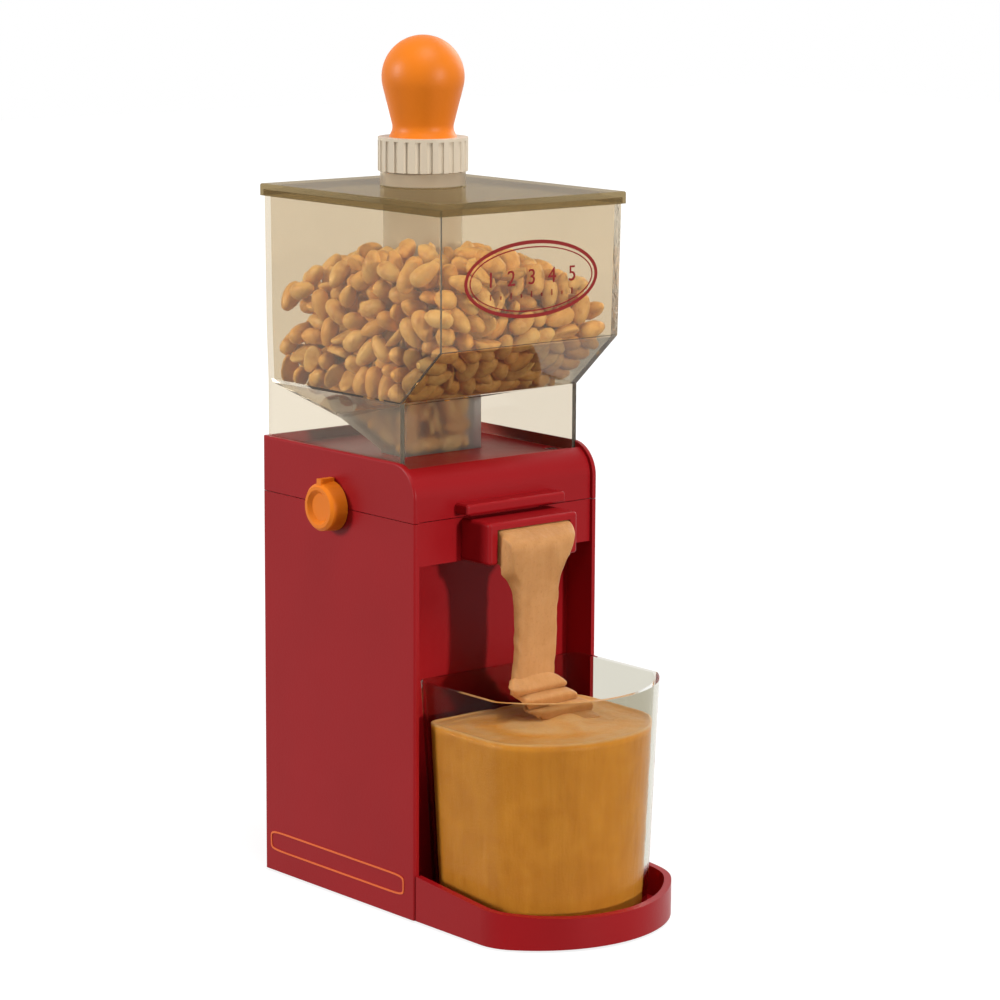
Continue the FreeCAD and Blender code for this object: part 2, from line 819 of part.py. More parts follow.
def make_base_tray():
    body = new_body("base_tray")
    plate = rectangle("-inner + fit_gap", "inner - fit_gap", "-tray_wall", "rear - fit_gap")
    grow(body, "plate", "XY_Plane", "foot_stand", "floor_top", plate)
    outline = bowed("tray_half", "-fit_gap", "arc_centre", "tray_arc")
    grow(body, "tray", "XY_Plane", "foot_stand", "rim_back", outline)
    round_bow(body, "tray_corners", "tray_half", "tray_arc", "tray_corner")
    well = bowed("tray_half - tray_wall", "shell", "arc_centre", "tray_arc - tray_wall")
    carve(body, "well", "XY_Plane", "floor_top", "rim_back", well)
    inner_corner = "tray_corner - tray_wall"
    round_bow(body, "well_corners", "tray_half - tray_wall", "tray_arc - tray_wall", inner_corner)
    slope = [
        ("0", "rim_back"),
        ("-tray_front", "rim_front"),
        ("-tray_front - shell", "rim_front"),
        ("-tray_front - shell", "rim_back + shell"),
        ("0", "rim_back + shell"),
    ]
    carve(body, "rim_slope", "YZ_Plane", "-half", "half", polygon(slope))
    feet = [disc(x, y, "foot_radius + fit_gap") for x, y in foot_places()]
    carve(body, "foot_seats", "XY_Plane", "foot_stand", "foot_stand + foot_recess", *feet)
    carve(body, "screw_holes", "XY_Plane", "foot_stand", "floor_top", *post_holes("screw_radius + fit_gap"))
    seats = post_holes("screw_head + fit_gap")
    carve(body, "screw_seats", "XY_Plane", "foot_stand", "foot_stand + screw_head_rise", *seats)


def make_feet():
    body = new_body("rubber_feet")
    body.AllowCompound = True
    feet = [disc(x, y, "foot_radius") for x, y in foot_places()]
    grow(body, "feet", "XY_Plane", "0", "foot_stand + foot_recess", *feet)


def make_cord_bush():
    """A moulded bush that lines the cord inlet in the rear wall."""
    body = new_body("cord_bush")
    end = "body_depth + bush_brim"
    start = f"{end} - bush_length"
    grow(body, "barrel", "XZ_Plane", start, end, disc("inlet_x", "inlet_height", "inlet_radius"))
    brim = disc("inlet_x", "inlet_height", "inlet_radius + bush_brim")
    grow(body, "brim", "XZ_Plane", "body_depth", end, brim)
    carve(body, "bore", "XZ_Plane", start, end, disc("inlet_x", "inlet_height", "cord_radius"))


def make_terminal_block():
    body = new_body("terminal_block")
    back = "rear - bush_length - fit_gap"
    half, top = "terminal_wide / 2", "floor_top + terminal_high"
    base = rectangle(f"inlet_x - {half}", f"inlet_x + {half}", f"{back} - terminal_deep", back)
    grow(body, "base", "XY_Plane", "floor_top", top, base)
    middle = f"{back} - terminal_deep / 2"
    ways = [disc(f"inlet_x + {step} * terminal_pitch", middle, "screw_radius") for step in (-1, 0, 1)]
    carve(body, "ways", "XY_Plane", f"{top} - terminal_high / 2", top, *ways)


# ---------------------------------------------------------------- cup, hopper, lid and pusher


def make_cup():
    body = new_body("cup")

    def outline(inset, bend):
        side, back = f"cup_half - {inset}", f"cup_back - {inset}"
        return rounded_bow(side, back, "arc_centre", f"cup_arc - {inset}", bend)

    foot, mouth = outline("cup_draft", "cup_corner"), outline("0", "cup_corner")
    loft(body, "outside", "Additive", [("cup_low", foot), ("cup_rim", mouth)])
    foot = outline("(cup_draft + cup_wall)", "cup_corner - cup_wall")
    mouth = outline("cup_wall", "cup_corner - cup_wall")
    loft(body, "inside", "Subtractive", [("cup_low + cup_floor", foot), ("cup_rim", mouth)])


def make_hopper():
    body = new_body("hopper")

    def box(inset):
        """The drafted box: rim, fold and lower edge."""
        rim = box_outline("rim_half", "-rim_fore", "rim_aft", inset)
        fold = box_outline("fold_half", "-fold_front", "fold_back", inset)
        low = box_outline("low_half", "low_front", "low_back", inset)
        return [("hopper_top", rim), ("fold_height", fold), ("low_height", low)]

    def slant(inset):
        """The neck's upper edge, on the plane that falls towards the back."""
        return box_outline("neck_half", "0", "neck_slant", inset)

    def funnel(inset):
        return [box(inset)[-1], ("slant", slant(inset))]

    def neck(inset):
        outlet = box_outline("neck_half", "neck_front", "neck_outlet", inset)
        return [("slant", slant(inset)), ("neck_knee", outlet), ("neck_bottom", outlet)]

    for name, levels in (("box", box), ("funnel", funnel), ("neck", neck)):
        loft(body, f"{name}_outside", "Additive", levels("0"))
    skirts = both_sides("low_half - hopper_wall", "low_half", "low_front", "low_back")
    grow(body, "skirts", "XY_Plane", "deck + fit_gap", "low_height", *skirts)
    for name, levels in (("box", box), ("funnel", funnel), ("neck", neck)):
        loft(body, f"{name}_inside", "Subtractive", levels("hopper_wall"))


def make_lid():
    body = new_body("hopper_lid")
    outline = rectangle("-lid_half", "lid_half", "-lid_front", "lid_back")
    grow(body, "cover", "XY_Plane", "lid_top - lid_skirt", "lid_top", outline)
    round_edges(body, "corners", "edge_round", upright)
    top = size("lid_top")
    round_edges(body, "top_round", "lid_round", lambda a, b: near(a.z, top) and near(b.z, top))
    well = box_outline("lid_half", "-lid_front", "lid_back", "lid_wall")
    carve(body, "under", "XY_Plane", "lid_top - lid_skirt", "lid_under", well)
    grow(body, "collar", "XY_Plane", "lid_top", "collar_top", disc("0", "chute_y", "collar_radius"))
    carve(body, "chute", "XY_Plane", "lid_under", "collar_top", disc("0", "chute_y", "chute_bore"))


CHUTE = ("0", "chute_y", "0")


def make_pusher_tube():
    """The closed tube that presses the nuts down, hung from a rim inside the cap."""
    body = new_body("pusher_tube", CHUTE)
    top = "cap_low + tube_seat"
    grow(body, "tube", "XY_Plane", "tube_low", top, disc("0", "0", "tube_radius"))
    hollow = disc("0", "0", "tube_radius - tube_wall")
    carve(body, "hollow", "XY_Plane", "tube_low + tube_wall", top, hollow)


def make_pusher_cap():
    body = new_body("pusher_cap", CHUTE)
    grow(body, "ring", "XY_Plane", "cap_low", "cap_top", disc("0", "0", "cap_radius"))
    seat = disc("0", "0", "tube_radius")
    carve(body, "seat", "XY_Plane", "cap_low", "cap_low + tube_seat", seat)
    inside = disc("0", "0", "tube_radius - tube_wall")
    carve(body, "inside", "XY_Plane", "cap_low", "cap_top - cap_wall", inside)
    hole = disc("0", "0", "screw_radius + fit_gap")
    carve(body, "screw_hole", "XY_Plane", "cap_top - cap_wall", "cap_top", hole)
    groove = disc("cap_radius + flute_radius / 3", "0", "flute_radius")
    flute = carve(body, "flute", "XY_Plane", "cap_low", "cap_top - flute_stop", groove)
    repeat_round(body, "flutes", flute, "cap_flutes")


def make_pusher_knob():
    """A ball on a tapered stem that flares onto the cap."""
    body = new_body("pusher_knob", ("0", "chute_y", "cap_top"))
    sketch = new_sketch(body, "profile", "XZ_Plane", "0")
    flare, waist, ball = size("flare_radius"), size("waist_radius"), size("ball_radius")
    rise, middle = size("waist_rise"), size("ball_rise")
    reach = math.hypot(waist, middle - rise)
    start = math.atan2(rise - middle, waist) + math.acos(ball / reach)
    meet = (ball * math.cos(start), middle + ball * math.sin(start))
    spots = [(0, middle + ball), (0, 0), (flare, 0), (waist, rise), meet]
    lines = [add_line(sketch, a, b) for a, b in zip(spots, spots[1:])]
    circle = Part.Circle(FreeCAD.Vector(0, middle, 0), FreeCAD.Vector(0, 0, 1), ball)
    arc = sketch.addGeometry(Part.ArcOfCircle(circle, start, math.pi / 2))
    for side, following in zip(lines, lines[1:]):
        join(sketch, side, 2, following, 1)
    sketch.addConstraint(Sketcher.Constraint("Tangent", lines[-1], 2, arc, 1))
    join(sketch, arc, 2, lines[0], 1)
    pin_point(sketch, lines[0], 2, "0", "0")
    sketch.addConstraint(Sketcher.Constraint("Vertical", lines[0]))
    pin_point(sketch, lines[1], 2, "flare_radius", "0")
    pin_point(sketch, lines[2], 2, "waist_radius", "waist_rise")
    pin_point(sketch, arc, 3, "0", "ball_rise")
    dimension(sketch, "ball_radius", "Radius", arc)
    turned(body, sketch, "V_Axis")
    round_edges(body, "waist_round", "waist_round", lambda a, b: near(a.z, rise))
    carve(body, "screw_hole", "XY_Plane", "0", "screw_length", disc("0", "0", "screw_radius"))


# ---------------------------------------------------------------- control knob and switch

KNOB = ("-half", "knob_y", "seam_height")


def make_side_knob():
    body = new_body("side_knob", KNOB)
    rim = "knob_radius - knob_taper - knob_chamfer"
    floor = "-knob_proud + knob_dish"
    profile = [
        ("-fit_gap", "0"),
        ("-fit_gap", "knob_radius"),
        ("-knob_proud + knob_chamfer", "knob_radius - knob_taper"),
        ("-knob_proud", rim),
        ("-knob_proud", f"{rim} - knob_rim"),
        (floor, f"{rim} - knob_rim - knob_dish"),
        (floor, "0"),
    ]
    sketch = new_sketch(body, "profile", "XZ_Plane", "0")
    turned(body, draw_all(sketch, [polygon(profile)]), "H_Axis")
    reach = "knob_radius + pointer_half"
    pointer = rectangle("-pointer_half", "pointer_half", f"{reach} - pointer_length", reach)
    grow(body, "pointer", "YZ_Plane", "-knob_proud + knob_taper", "-fit_gap", pointer)
    bore = disc("0", "0", "stem_radius")
    carve(body, "stem_bore", "YZ_Plane", f"{floor} + knob_face", "-fit_gap", bore)


def make_switch_shaft():
    body = new_body("switch_shaft", KNOB)
    start = "-knob_proud + knob_dish + knob_face"
    stem = disc("0", "0", "stem_radius")
    grow(body, "shaft", "YZ_Plane", start, "shell + switch_deep / 2", stem)


def make_switch_body():
    """The rotary switch, with a threaded nose that fills the hole on the seam."""
    body = new_body("switch_body", KNOB)
    side, back = "switch_side / 2", "shell + fit_gap + switch_deep"
    case = rectangle(f"-{side}", side, f"-{side}", side)
    grow(body, "case", "YZ_Plane", "shell + fit_gap", back, case)
    grow(body, "nose", "YZ_Plane", "0", "shell + fit_gap", disc("0", "0", "bezel_radius"))
    bore = disc("0", "0", "stem_radius + run_gap")
    carve(body, "bore", "YZ_Plane", "0", "shell + fit_gap + switch_deep / 2", bore)
    tags = both_sides(f"{side} / 2", f"{side} / 2 + tag_thick", "-tag_half", "tag_half")
    grow(body, "tags", "YZ_Plane", back, f"{back} + tag_length", *tags)


# ---------------------------------------------------------------- spout and grinding chamber


def make_spout_block():
    body = new_body("spout_block")
    nose = rectangle("-nozzle_half", "nozzle_half", "nozzle_low", "nozzle_high")
    grow(body, "nose", "XZ_Plane", "-nozzle_reach", "fascia_set - fit_gap", nose)
    reach = -size("nozzle_reach")
    round_edges(body, "nose_round", "nozzle_round", lambda a, b: near(a.y, reach) or near(b.y, reach))
    duct = rectangle("-duct_half", "duct_half", "shelf + fit_gap", "duct_high")
    grow(body, "duct", "XZ_Plane", "fascia_set - fit_gap", "chamber_front", duct)
    flange = rectangle("-flange_half", "flange_half", "flange_low", "flange_high")
    grow(body, "flange", "XZ_Plane", "chamber_front - flange_plate", "chamber_front", flange)
    mouth = rectangle("-slot_half", "slot_half", "nozzle_low", "slot_high")
    carve(body, "mouth", "XZ_Plane", "-nozzle_reach", "-nozzle_reach + slot_depth", mouth)
    inner = "duct_half - duct_wall"
    passage = rectangle(f"-({inner})", inner, "shelf + fit_gap + duct_wall", "duct_high - duct_wall")
    carve(body, "passage", "XZ_Plane", "-nozzle_reach", "chamber_front - flange_plate", passage)
    back = "chamber_front - flange_plate"
    outlet = disc("0", "auger_height", "outlet_radius")
    carve(body, "inlet", "XZ_Plane", f"{back} - duct_wall", "chamber_front", outlet)
    holes = [disc(x, z, "screw_radius") for x, z in flange_screws()]
    carve(body, "screw_holes", "XZ_Plane", back, "chamber_front", *holes)


def flange_screws():
    """The four screws in the corners of a flange of the grinding chamber."""
    place = "flange_half - screw_head - screw_margin"
    for x in (place, f"-({place})"):
        for z in (f"auger_height + {place}", f"auger_height - ({place})"):
            yield x, z


def make_chamber():
    body = new_body("grinding_chamber")
    barrel = disc("0", "auger_height", "chamber_radius")
    grow(body, "barrel", "XZ_Plane", "chamber_front", "chamber_back", barrel)
    flange = rectangle("-flange_half", "flange_half", "flange_low", "flange_high")
    grow(body, "front_flange", "XZ_Plane", "chamber_front", "chamber_front + flange_plate", flange)
    grow(body, "rear_flange", "XZ_Plane", "plate_front - rear_flange", "plate_front", flange)
    throat = box_outline("neck_half", "neck_front", "neck_outlet", "0")
    grow(body, "throat", "XY_Plane", "auger_height", "throat_top", throat)
    mouth = box_outline("neck_half", "neck_front", "neck_outlet", "throat_wall")
    drop = rectangle("-throat_half", "throat_half", "neck_front + throat_wall", "neck_outlet - throat_wall")
    levels = [("throat_top", mouth), ("auger_height + chamber_bore / 2", drop)]
    loft(body, "throat_funnel", "Subtractive", levels)
    bore = disc("0", "auger_height", "chamber_bore")
    carve(body, "bore", "XZ_Plane", "chamber_front", "seal_start", bore)
    seal_bore = disc("0", "auger_height", "seal_radius")
    carve(body, "seal_bore", "XZ_Plane", "seal_start", "plate_front", seal_bore)
    clear = [disc(x, z, "screw_radius + fit_gap") for x, z in flange_screws()]
    carve(body, "front_holes", "XZ_Plane", "chamber_front", "chamber_front + flange_plate", *clear)
    holes = [disc(x, z, "screw_radius") for x, z in flange_screws()]
    carve(body, "rear_holes", "XZ_Plane", "plate_front - rear_flange", "plate_front", *holes)


GRINDER = ("0", "0", "auger_height")
ALONG = FreeCAD.Vector(0, 1, 0)


def make_seal():
    body = new_body("chamber_seal", GRINDER)
    grow(body, "ring", "XZ_Plane", "seal_start", "chamber_back", disc("0", "0", "seal_radius"))
    lip = disc("0", "0", "auger_neck + run_gap")
    carve(body, "lip", "XZ_Plane", "seal_start", "chamber_back", lip)


def burr_grooves(start, nose, back, count):
    """Slots along a cone, spread evenly round its axis and sunk to one depth."""
    length, wide, deep = size("burr_length"), size("groove_wide"), size("groove_deep")
    slope = math.degrees(math.atan2(back - nose, length))
    corner = FreeCAD.Vector(-wide / 2, start - deep, -deep)
    slot = Part.makeBox(wide, 1.5 * length, 2 * deep, corner)
    slot.rotate(FreeCAD.Vector(0, start, 0), FreeCAD.Vector(1, 0, 0), slope)
    slot.translate(FreeCAD.Vector(0, 0, nose))
    slots = []
    for step in range(round(size(count))):
        copy = slot.copy()
        copy.rotate(FreeCAD.Vector(), ALONG, 360 * step / size(count))
        slots.append(copy)
    return Part.makeCompound(slots)


def make_fixed_burr():
    """A ring with an inner cone and grinding grooves, pressed into the front of the bore."""
    start, length = size("chamber_front"), size("burr_length")
    nose, back = size("burr_nose + burr_gap"), size("burr_rear + burr_gap")
    front = FreeCAD.Vector(0, start, 0)
    ring = Part.makeCylinder(size("chamber_bore"), length, front, ALONG)
    ring = ring.cut(Part.makeCone(nose, back, length, front, ALONG))
    shaped("fixed_burr", ring.cut(burr_grooves(start, nose, back, "fixed_grooves")), GRINDER)


def make_rotating_burr():
    start = size("chamber_front + burr_gap")
    nose, back = size("burr_nose"), size("burr_rear")
    front = FreeCAD.Vector(0, start, 0)
    cone = Part.makeCone(nose, back, size("burr_length"), front, ALONG)
    shaped("rotating_burr", cone.cut(burr_grooves(start, nose, back, "turning_grooves")), GRINDER)


def hexagon(flats, start, end):
    """A hexagonal bar along the grinder's axis."""
    radius = flats / math.sqrt(3)
    corners = [
        FreeCAD.Vector(radius * math.cos(turn), start, radius * math.sin(turn))
        for turn in (math.pi * side / 3 for side in range(7))
    ]
    return Part.Face(Part.makePolygon(corners)).extrude(FreeCAD.Vector(0, end - start, 0))


def make_auger():
    """The feed screw: a core with one helical flight and a hexagonal socket at its rear."""
    start = size("chamber_front + burr_gap + burr_length")
    shoulder, end = size("seal_start - fit_gap"), size("auger_end")
    core, outer, thick = size("auger_core"), size("chamber_bore - fit_gap"), size("flight_thick")
    # The flight's section starts inside the core, so that the two join, and narrows to its rim.
    root, slim = 0.8 * core, 0.3 * thick
    helix = Part.makeHelix(size("auger_pitch"), shoulder - start - thick, core)
    profile = Part.makePolygon([
        FreeCAD.Vector(root, 0, 0),
        FreeCAD.Vector(outer, 0, slim),
        FreeCAD.Vector(outer, 0, thick - slim),
        FreeCAD.Vector(root, 0, thick),
        FreeCAD.Vector(root, 0, 0),
    ])
    flight = Part.Wire(helix.Edges).makePipeShell([profile], True, True)
    flight.rotate(FreeCAD.Vector(), FreeCAD.Vector(1, 0, 0), -90)
    flight.translate(FreeCAD.Vector(0, start, 0))
    barrel = Part.makeCylinder(core, shoulder - start, FreeCAD.Vector(0, start, 0), ALONG)
    neck = Part.makeCylinder(size("auger_neck"), end - shoulder, FreeCAD.Vector(0, shoulder, 0), ALONG)
    socket = hexagon(size("hex_flats + 2 * run_gap"), end - size("socket_depth"), end)
    shaped("auger", barrel.fuse([flight, neck]).cut(socket).removeSplitter(), GRINDER)


def make_drive_shaft():
    start, shoulder = size("auger_end - socket_depth + fit_gap"), size("auger_end + fit_gap")
    end = size("plate_rear + plate_thick + shaft_tail")
    face = FreeCAD.Vector(0, shoulder, 0)
    round_bar = Part.makeCylinder(size("shaft_radius"), end - shoulder, face, ALONG)
    bar = round_bar.fuse(hexagon(size("hex_flats"), start, shoulder))
    shaped("drive_shaft", bar.removeSplitter(), GRINDER)


# ---------------------------------------------------------------- gear train

PRESSURE_ANGLE = math.radians(25)
ADDENDUM = 0.8
DEDENDUM = 1.05


def involute(angle):
    return math.tan(angle) - angle


def gear(teeth, start, end, bore, phase=0.0):
    """A spur gear with stub teeth about the Y axis. At phase 0 a tooth points along +X."""
    module, play = size("gear_module"), size("tooth_backlash")
    pitch = module * teeth / 2
    base = pitch * math.cos(PRESSURE_ANGLE)
    tip, root = pitch + ADDENDUM * module, pitch - DEDENDUM * module
    half_tooth = math.pi / (2 * teeth) - play / (4 * pitch)

    def spread(radius):
        """Half the tooth's angle at a radius. Inside the base circle the flank is radial."""
        lean = math.acos(min(1.0, base / radius))
        return half_tooth + involute(PRESSURE_ANGLE) - involute(lean)

    def at(radius, turn):
        return FreeCAD.Vector(radius * math.cos(turn), start, radius * math.sin(turn))

    edges = []
    for tooth in range(teeth):
        middle = 2 * math.pi * (tooth + phase) / teeth
        following = 2 * math.pi * (tooth + 1 + phase) / teeth
        low, high = spread(root), spread(tip)
        rise = [at(root, middle - low), at(pitch, middle - spread(pitch)), at(tip, middle - high)]
        fall = [at(tip, middle + high), at(pitch, middle + spread(pitch)), at(root, middle + low)]
        edges.append(Part.Arc(*rise).toShape())
        edges.append(Part.Arc(rise[2], at(tip, middle), fall[0]).toShape())
        edges.append(Part.Arc(*fall).toShape())
        gap = (middle + following) / 2
        edges.append(Part.Arc(fall[2], at(root, gap), at(root, following - low)).toShape())
    blank = Part.Face(Part.Wire(edges)).extrude(FreeCAD.Vector(0, end - start, 0))
    return blank.cut(Part.makeCylinder(bore, end - start, FreeCAD.Vector(0, start, 0), ALONG))


# Seen along the axis a gap of the upper gear faces the tooth of the lower gear that points up.
def tooth_up(teeth):
    return teeth / 4 % 1


def gap_down(teeth):
    return (3 * teeth / 4 + 0.5) % 1


def web_windows(start, end):
    """Round holes through a wheel's web."""
    count, place = round(size("web_holes")), size("web_ring")
    holes = []
    for step in range(count):
        turn = 2 * math.pi * step / count
        centre = FreeCAD.Vector(place * math.cos(turn), start, place * math.sin(turn))
        holes.append(Part.makeCylinder(size("web_hole"), end - start, centre, ALONG))
    return Part.makeCompound(holes)


def make_output_gear():
    teeth = round(size("wheel_teeth"))
    start, end = size("output_start"), size("output_end")
    wheel = gear(teeth, start, end, size("shaft_radius"), gap_down(teeth))
    shaped("output_gear", wheel.cut(web_windows(start, end)), GRINDER)


def make_idler_gear():
    """The compound gear: a wheel and a pinion in one moulding."""
    wheel_teeth, pinion_teeth = round(size("wheel_teeth")), round(size("idler_pinion_teeth"))
    bore = size("pin_radius + run_gap")
    start, end = size("idler_wheel_start"), size("idler_wheel_end")
    wheel = gear(wheel_teeth, start, end, bore, gap_down(wheel_teeth))
    wheel = wheel.cut(web_windows(start, end))
    front = size("output_start - pinion_over")
    pinion = gear(pinion_teeth, front, start, bore, tooth_up(pinion_teeth))
    shaped("idler_gear", wheel.fuse(pinion), ("0", "0", "idler_height"))


def make_motor_pinion():
    teeth = round(size("motor_pinion_teeth"))
    start, end = size("idler_wheel_start - pinion_over"), size("idler_wheel_end + pinion_over")
    pinion = gear(teeth, start, end, size("motor_shaft_radius"), tooth_up(teeth))
    shaped("motor_pinion", pinion, ("0", "0", "motor_height"))


PILLARS = [(x, z) for x in ("pillar_x", "-pillar_x") for z in ("pillar_high", "pillar_low")]
MOTOR_SCREWS = ("motor_screw_x", "-motor_screw_x")


def plate_outline():
    return rectangle("-inner + fit_gap", "inner - fit_gap", "plate_low", "plate_high")


def make_front_plate():
    body = new_body("gearbox_front_plate")
    grow(body, "plate", "XZ_Plane", "plate_front", "plate_front + plate_thick", plate_outline())
    holes = [
        disc("0", "auger_height", "bush_radius"),
        disc("0", "idler_height", "pin_radius"),
        disc("0", "motor_height", "bearing_radius"),
    ]
    holes += [disc(x, z, "screw_radius + fit_gap") for x, z in flange_screws()]
    holes += [disc(x, "motor_height", "screw_radius + fit_gap") for x in MOTOR_SCREWS]
    holes += [disc(x, z, "screw_radius") for x, z in PILLARS]
    carve(body, "holes", "XZ_Plane", "plate_front", "plate_front + plate_thick", *holes)


def make_rear_plate():
    body = new_body("gearbox_rear_plate")
    grow(body, "plate", "XZ_Plane", "plate_rear", "plate_rear + plate_thick", plate_outline())
    holes = [disc("0", "auger_height", "bush_radius"), disc("0", "idler_height", "pin_radius")]
    holes += [disc(x, z, "screw_radius + fit_gap") for x, z in PILLARS]
    carve(body, "holes", "XZ_Plane", "plate_rear", "plate_rear + plate_thick", *holes)


def make_pillars():
    body = new_body("gearbox_pillars")
    body.AllowCompound = True
    start = "plate_front + plate_thick"
    pillars = [disc(x, z, "screw_radius + pillar_wall") for x, z in PILLARS]
    grow(body, "pillars", "XZ_Plane", start, "plate_rear", *pillars)
    bores = [disc(x, z, "screw_radius") for x, z in PILLARS]
    carve(body, "bores", "XZ_Plane", "plate_rear - screw_length", "plate_rear", *bores)


def make_shaft_bushes():
    body = new_body("shaft_bushes", GRINDER)
    body.AllowCompound = True
    ring = disc("0", "0", "bush_radius")
    grow(body, "front_bush", "XZ_Plane", "plate_front", "output_start - fit_gap", ring)
    rear_end = "plate_rear + plate_thick"
    grow(body, "rear_bush", "XZ_Plane", "plate_rear - shaft_tail", rear_end, ring)
    bore = disc("0", "0", "shaft_radius + run_gap")
    carve(body, "bores", "XZ_Plane", "plate_front", rear_end, bore)


def make_idler_pin():
    body = new_body("idler_pin", ("0", "0", "idler_height"))
    end = "plate_rear + plate_thick"
    grow(body, "pin", "XZ_Plane", "plate_front", end, disc("0", "0", "pin_radius"))


# ---------------------------------------------------------------- motor

MOTOR = ("0", "0", "motor_height")


def make_motor_can():
    body = new_body("motor_can", MOTOR)
    grow(body, "can", "XZ_Plane", "motor_front", "motor_rear", disc("0", "0", "motor_radius"))
    hollow = disc("0", "0", "motor_radius - motor_wall")
    carve(body, "hollow", "XZ_Plane", "motor_front", "motor_rear - can_floor", hollow)
    holes = [disc(x, "0", "screw_radius") for x in MOTOR_SCREWS]
    holes += [disc("0", "0", "bearing_radius")]
    carve(body, "rear_holes", "XZ_Plane", "motor_rear - can_floor", "motor_rear", *holes)


def make_motor_end_cap():
    body = new_body("motor_end_cap", MOTOR)
    grow(body, "cap", "XZ_Plane", "cap_front", "motor_front", disc("0", "0", "motor_radius"))
    carve(body, "bearing_bore", "XZ_Plane", "cap_front", "motor_front", disc("0", "0", "bearing_radius"))
    vents = both_sides("cap_vent_near", "cap_vent_far", "-cap_vent_half", "cap_vent_half")
    carve(body, "vents", "XZ_Plane", "cap_front", "motor_front", *vents)


def make_motor_bearings():
    body = new_body("motor_bearings", MOTOR)
    body.AllowCompound = True
    ring, rear_end = disc("0", "0", "bearing_radius"), "plate_front + plate_thick"
    grow(body, "front_bearing", "XZ_Plane", "cap_front", "motor_front", ring)
    grow(body, "rear_bearing", "XZ_Plane", "motor_rear - can_floor", rear_end, ring)
    bore = disc("0", "0", "motor_shaft_radius + run_gap")
    carve(body, "bores", "XZ_Plane", "cap_front", rear_end, bore)


def make_magnets():
    """Two curved magnets against the inside of the can."""
    body = new_body("motor_magnets", MOTOR)
    body.AllowCompound = True
    start, end = "motor_front + magnet_front", "motor_rear - magnet_rear"
    grow(body, "ring", "XZ_Plane", start, end, disc("0", "0", "motor_radius - motor_wall"))
    core = disc("0", "0", "motor_radius - motor_wall - magnet_thick")
    carve(body, "core", "XZ_Plane", start, end, core)
    gap = rectangle("-magnet_gap", "magnet_gap", "-motor_radius", "motor_radius")
    carve(body, "gaps", "XZ_Plane", start, end, gap)


def make_armature():
    """The slotted stack of the armature, with its commutator in front."""
    body = new_body("motor_armature", MOTOR)
    stack = "motor_radius - motor_wall - magnet_thick - air_gap"
    front, start, end = "motor_front + fan_gap", "motor_front + magnet_rear", "motor_rear - magnet_rear"
    grow(body, "stack", "XZ_Plane", start, end, disc("0", "0", stack))
    grow(body, "commutator", "XZ_Plane", front, start, disc("0", "0", "commutator_radius"))
    slot_half, slot_root = "armature_slot_half", f"{stack} - armature_slot_deep"
    slot = rectangle(f"-{slot_half}", slot_half, slot_root, "motor_radius")
    first = carve(body, "slot", "XZ_Plane", start, end, slot)
    repeat_round(body, "slots", first, "armature_slots")
    bore = disc("0", "0", "motor_shaft_radius")
    carve(body, "bore", "XZ_Plane", front, end, bore)


def make_motor_shaft():
    body = new_body("motor_shaft", MOTOR)
    end = "idler_wheel_end + 2 * pinion_over"
    grow(body, "shaft", "XZ_Plane", "fan_start", end, disc("0", "0", "motor_shaft_radius"))


def make_fan():
    """A hub and flat blades on the front end of the motor shaft."""
    body = new_body("cooling_fan", MOTOR)
    start, end = "fan_start", "cap_front - fan_gap"
    grow(body, "hub", "XZ_Plane", start, end, disc("0", "0", "motor_shaft_radius + hub_wall"))
    grow(body, "disc", "XZ_Plane", f"{end} - fan_disc", end, disc("0", "0", "fan_radius"))
    outline = rectangle("-blade_half", "blade_half", "hub_wall", "fan_radius")
    blade = grow(body, "blade", "XZ_Plane", start, end, outline)
    repeat_round(body, "blades", blade, "fan_blades")
    carve(body, "bore", "XZ_Plane", start, end, disc("0", "0", "motor_shaft_radius"))


# ---------------------------------------------------------------- fasteners


def screw(length, rise):
    """A pan-head screw with a cross recess. Its head is above z = 0 and its shank below."""
    shank = Part.makeCylinder(size("screw_radius"), length, FreeCAD.Vector(0, 0, -length))
    head = size("screw_head")
    cap = Part.makeCylinder(head, rise)
    wide = size("recess_width")
    bar = Part.makeBox(head, wide, rise, FreeCAD.Vector(-head / 2, -wide / 2, rise / 2))
    cross = Part.makeBox(wide, head, rise, FreeCAD.Vector(-wide / 2, -head / 2, rise / 2))
    return shank.fuse(cap).removeSplitter().cut([bar, cross])


def screws(name, places, level, direction, length="screw_length", rise="screw_head_rise"):
    """Identical screws, one at each place, their heads facing the given direction."""
    turn = FreeCAD.Rotation(FreeCAD.Vector(0, 0, 1), FreeCAD.Vector(*direction))
    one = screw(size(length), size(rise))
    copies = []
    for first, second in places:
        spot = point(first, second, level) if direction[2] else point(first, level, second)
        copy = one.copy()
        copy.Placement = FreeCAD.Placement(spot, turn)
        copies.append(copy)
    shaped(name, Part.makeCompound(copies))


def make_screws():
    up, down, back = (0, 0, 1), (0, 0, -1), (0, 1, 0)
    sunk = "deck - screw_head_rise - fit_gap"
    screws("deck_screws", POST_PLACES, sunk, up, f"{sunk} - lower_top + screw_bite")
    screws("base_screws", POST_PLACES, "foot_stand + screw_head_rise", down)
    behind, flat = "plate_front + plate_thick", "flat_head_rise"
    screws("chamber_screws", flange_screws(), behind, back, "plate_thick + flange_plate", flat)
    front_flange = "chamber_front + flange_plate"
    screws("spout_screws", flange_screws(), front_flange, back, "2 * flange_plate - fit_gap")
    screws("gearbox_screws", PILLARS, "plate_rear + plate_thick", back)
    sides = [(x, "motor_height") for x in MOTOR_SCREWS]
    screws("motor_screws", sides, behind, back, "plate_thick + can_floor", flat)
    screws("pusher_screw", [CHUTE[:2]], "cap_top - cap_wall", down, "cap_wall + screw_bite")


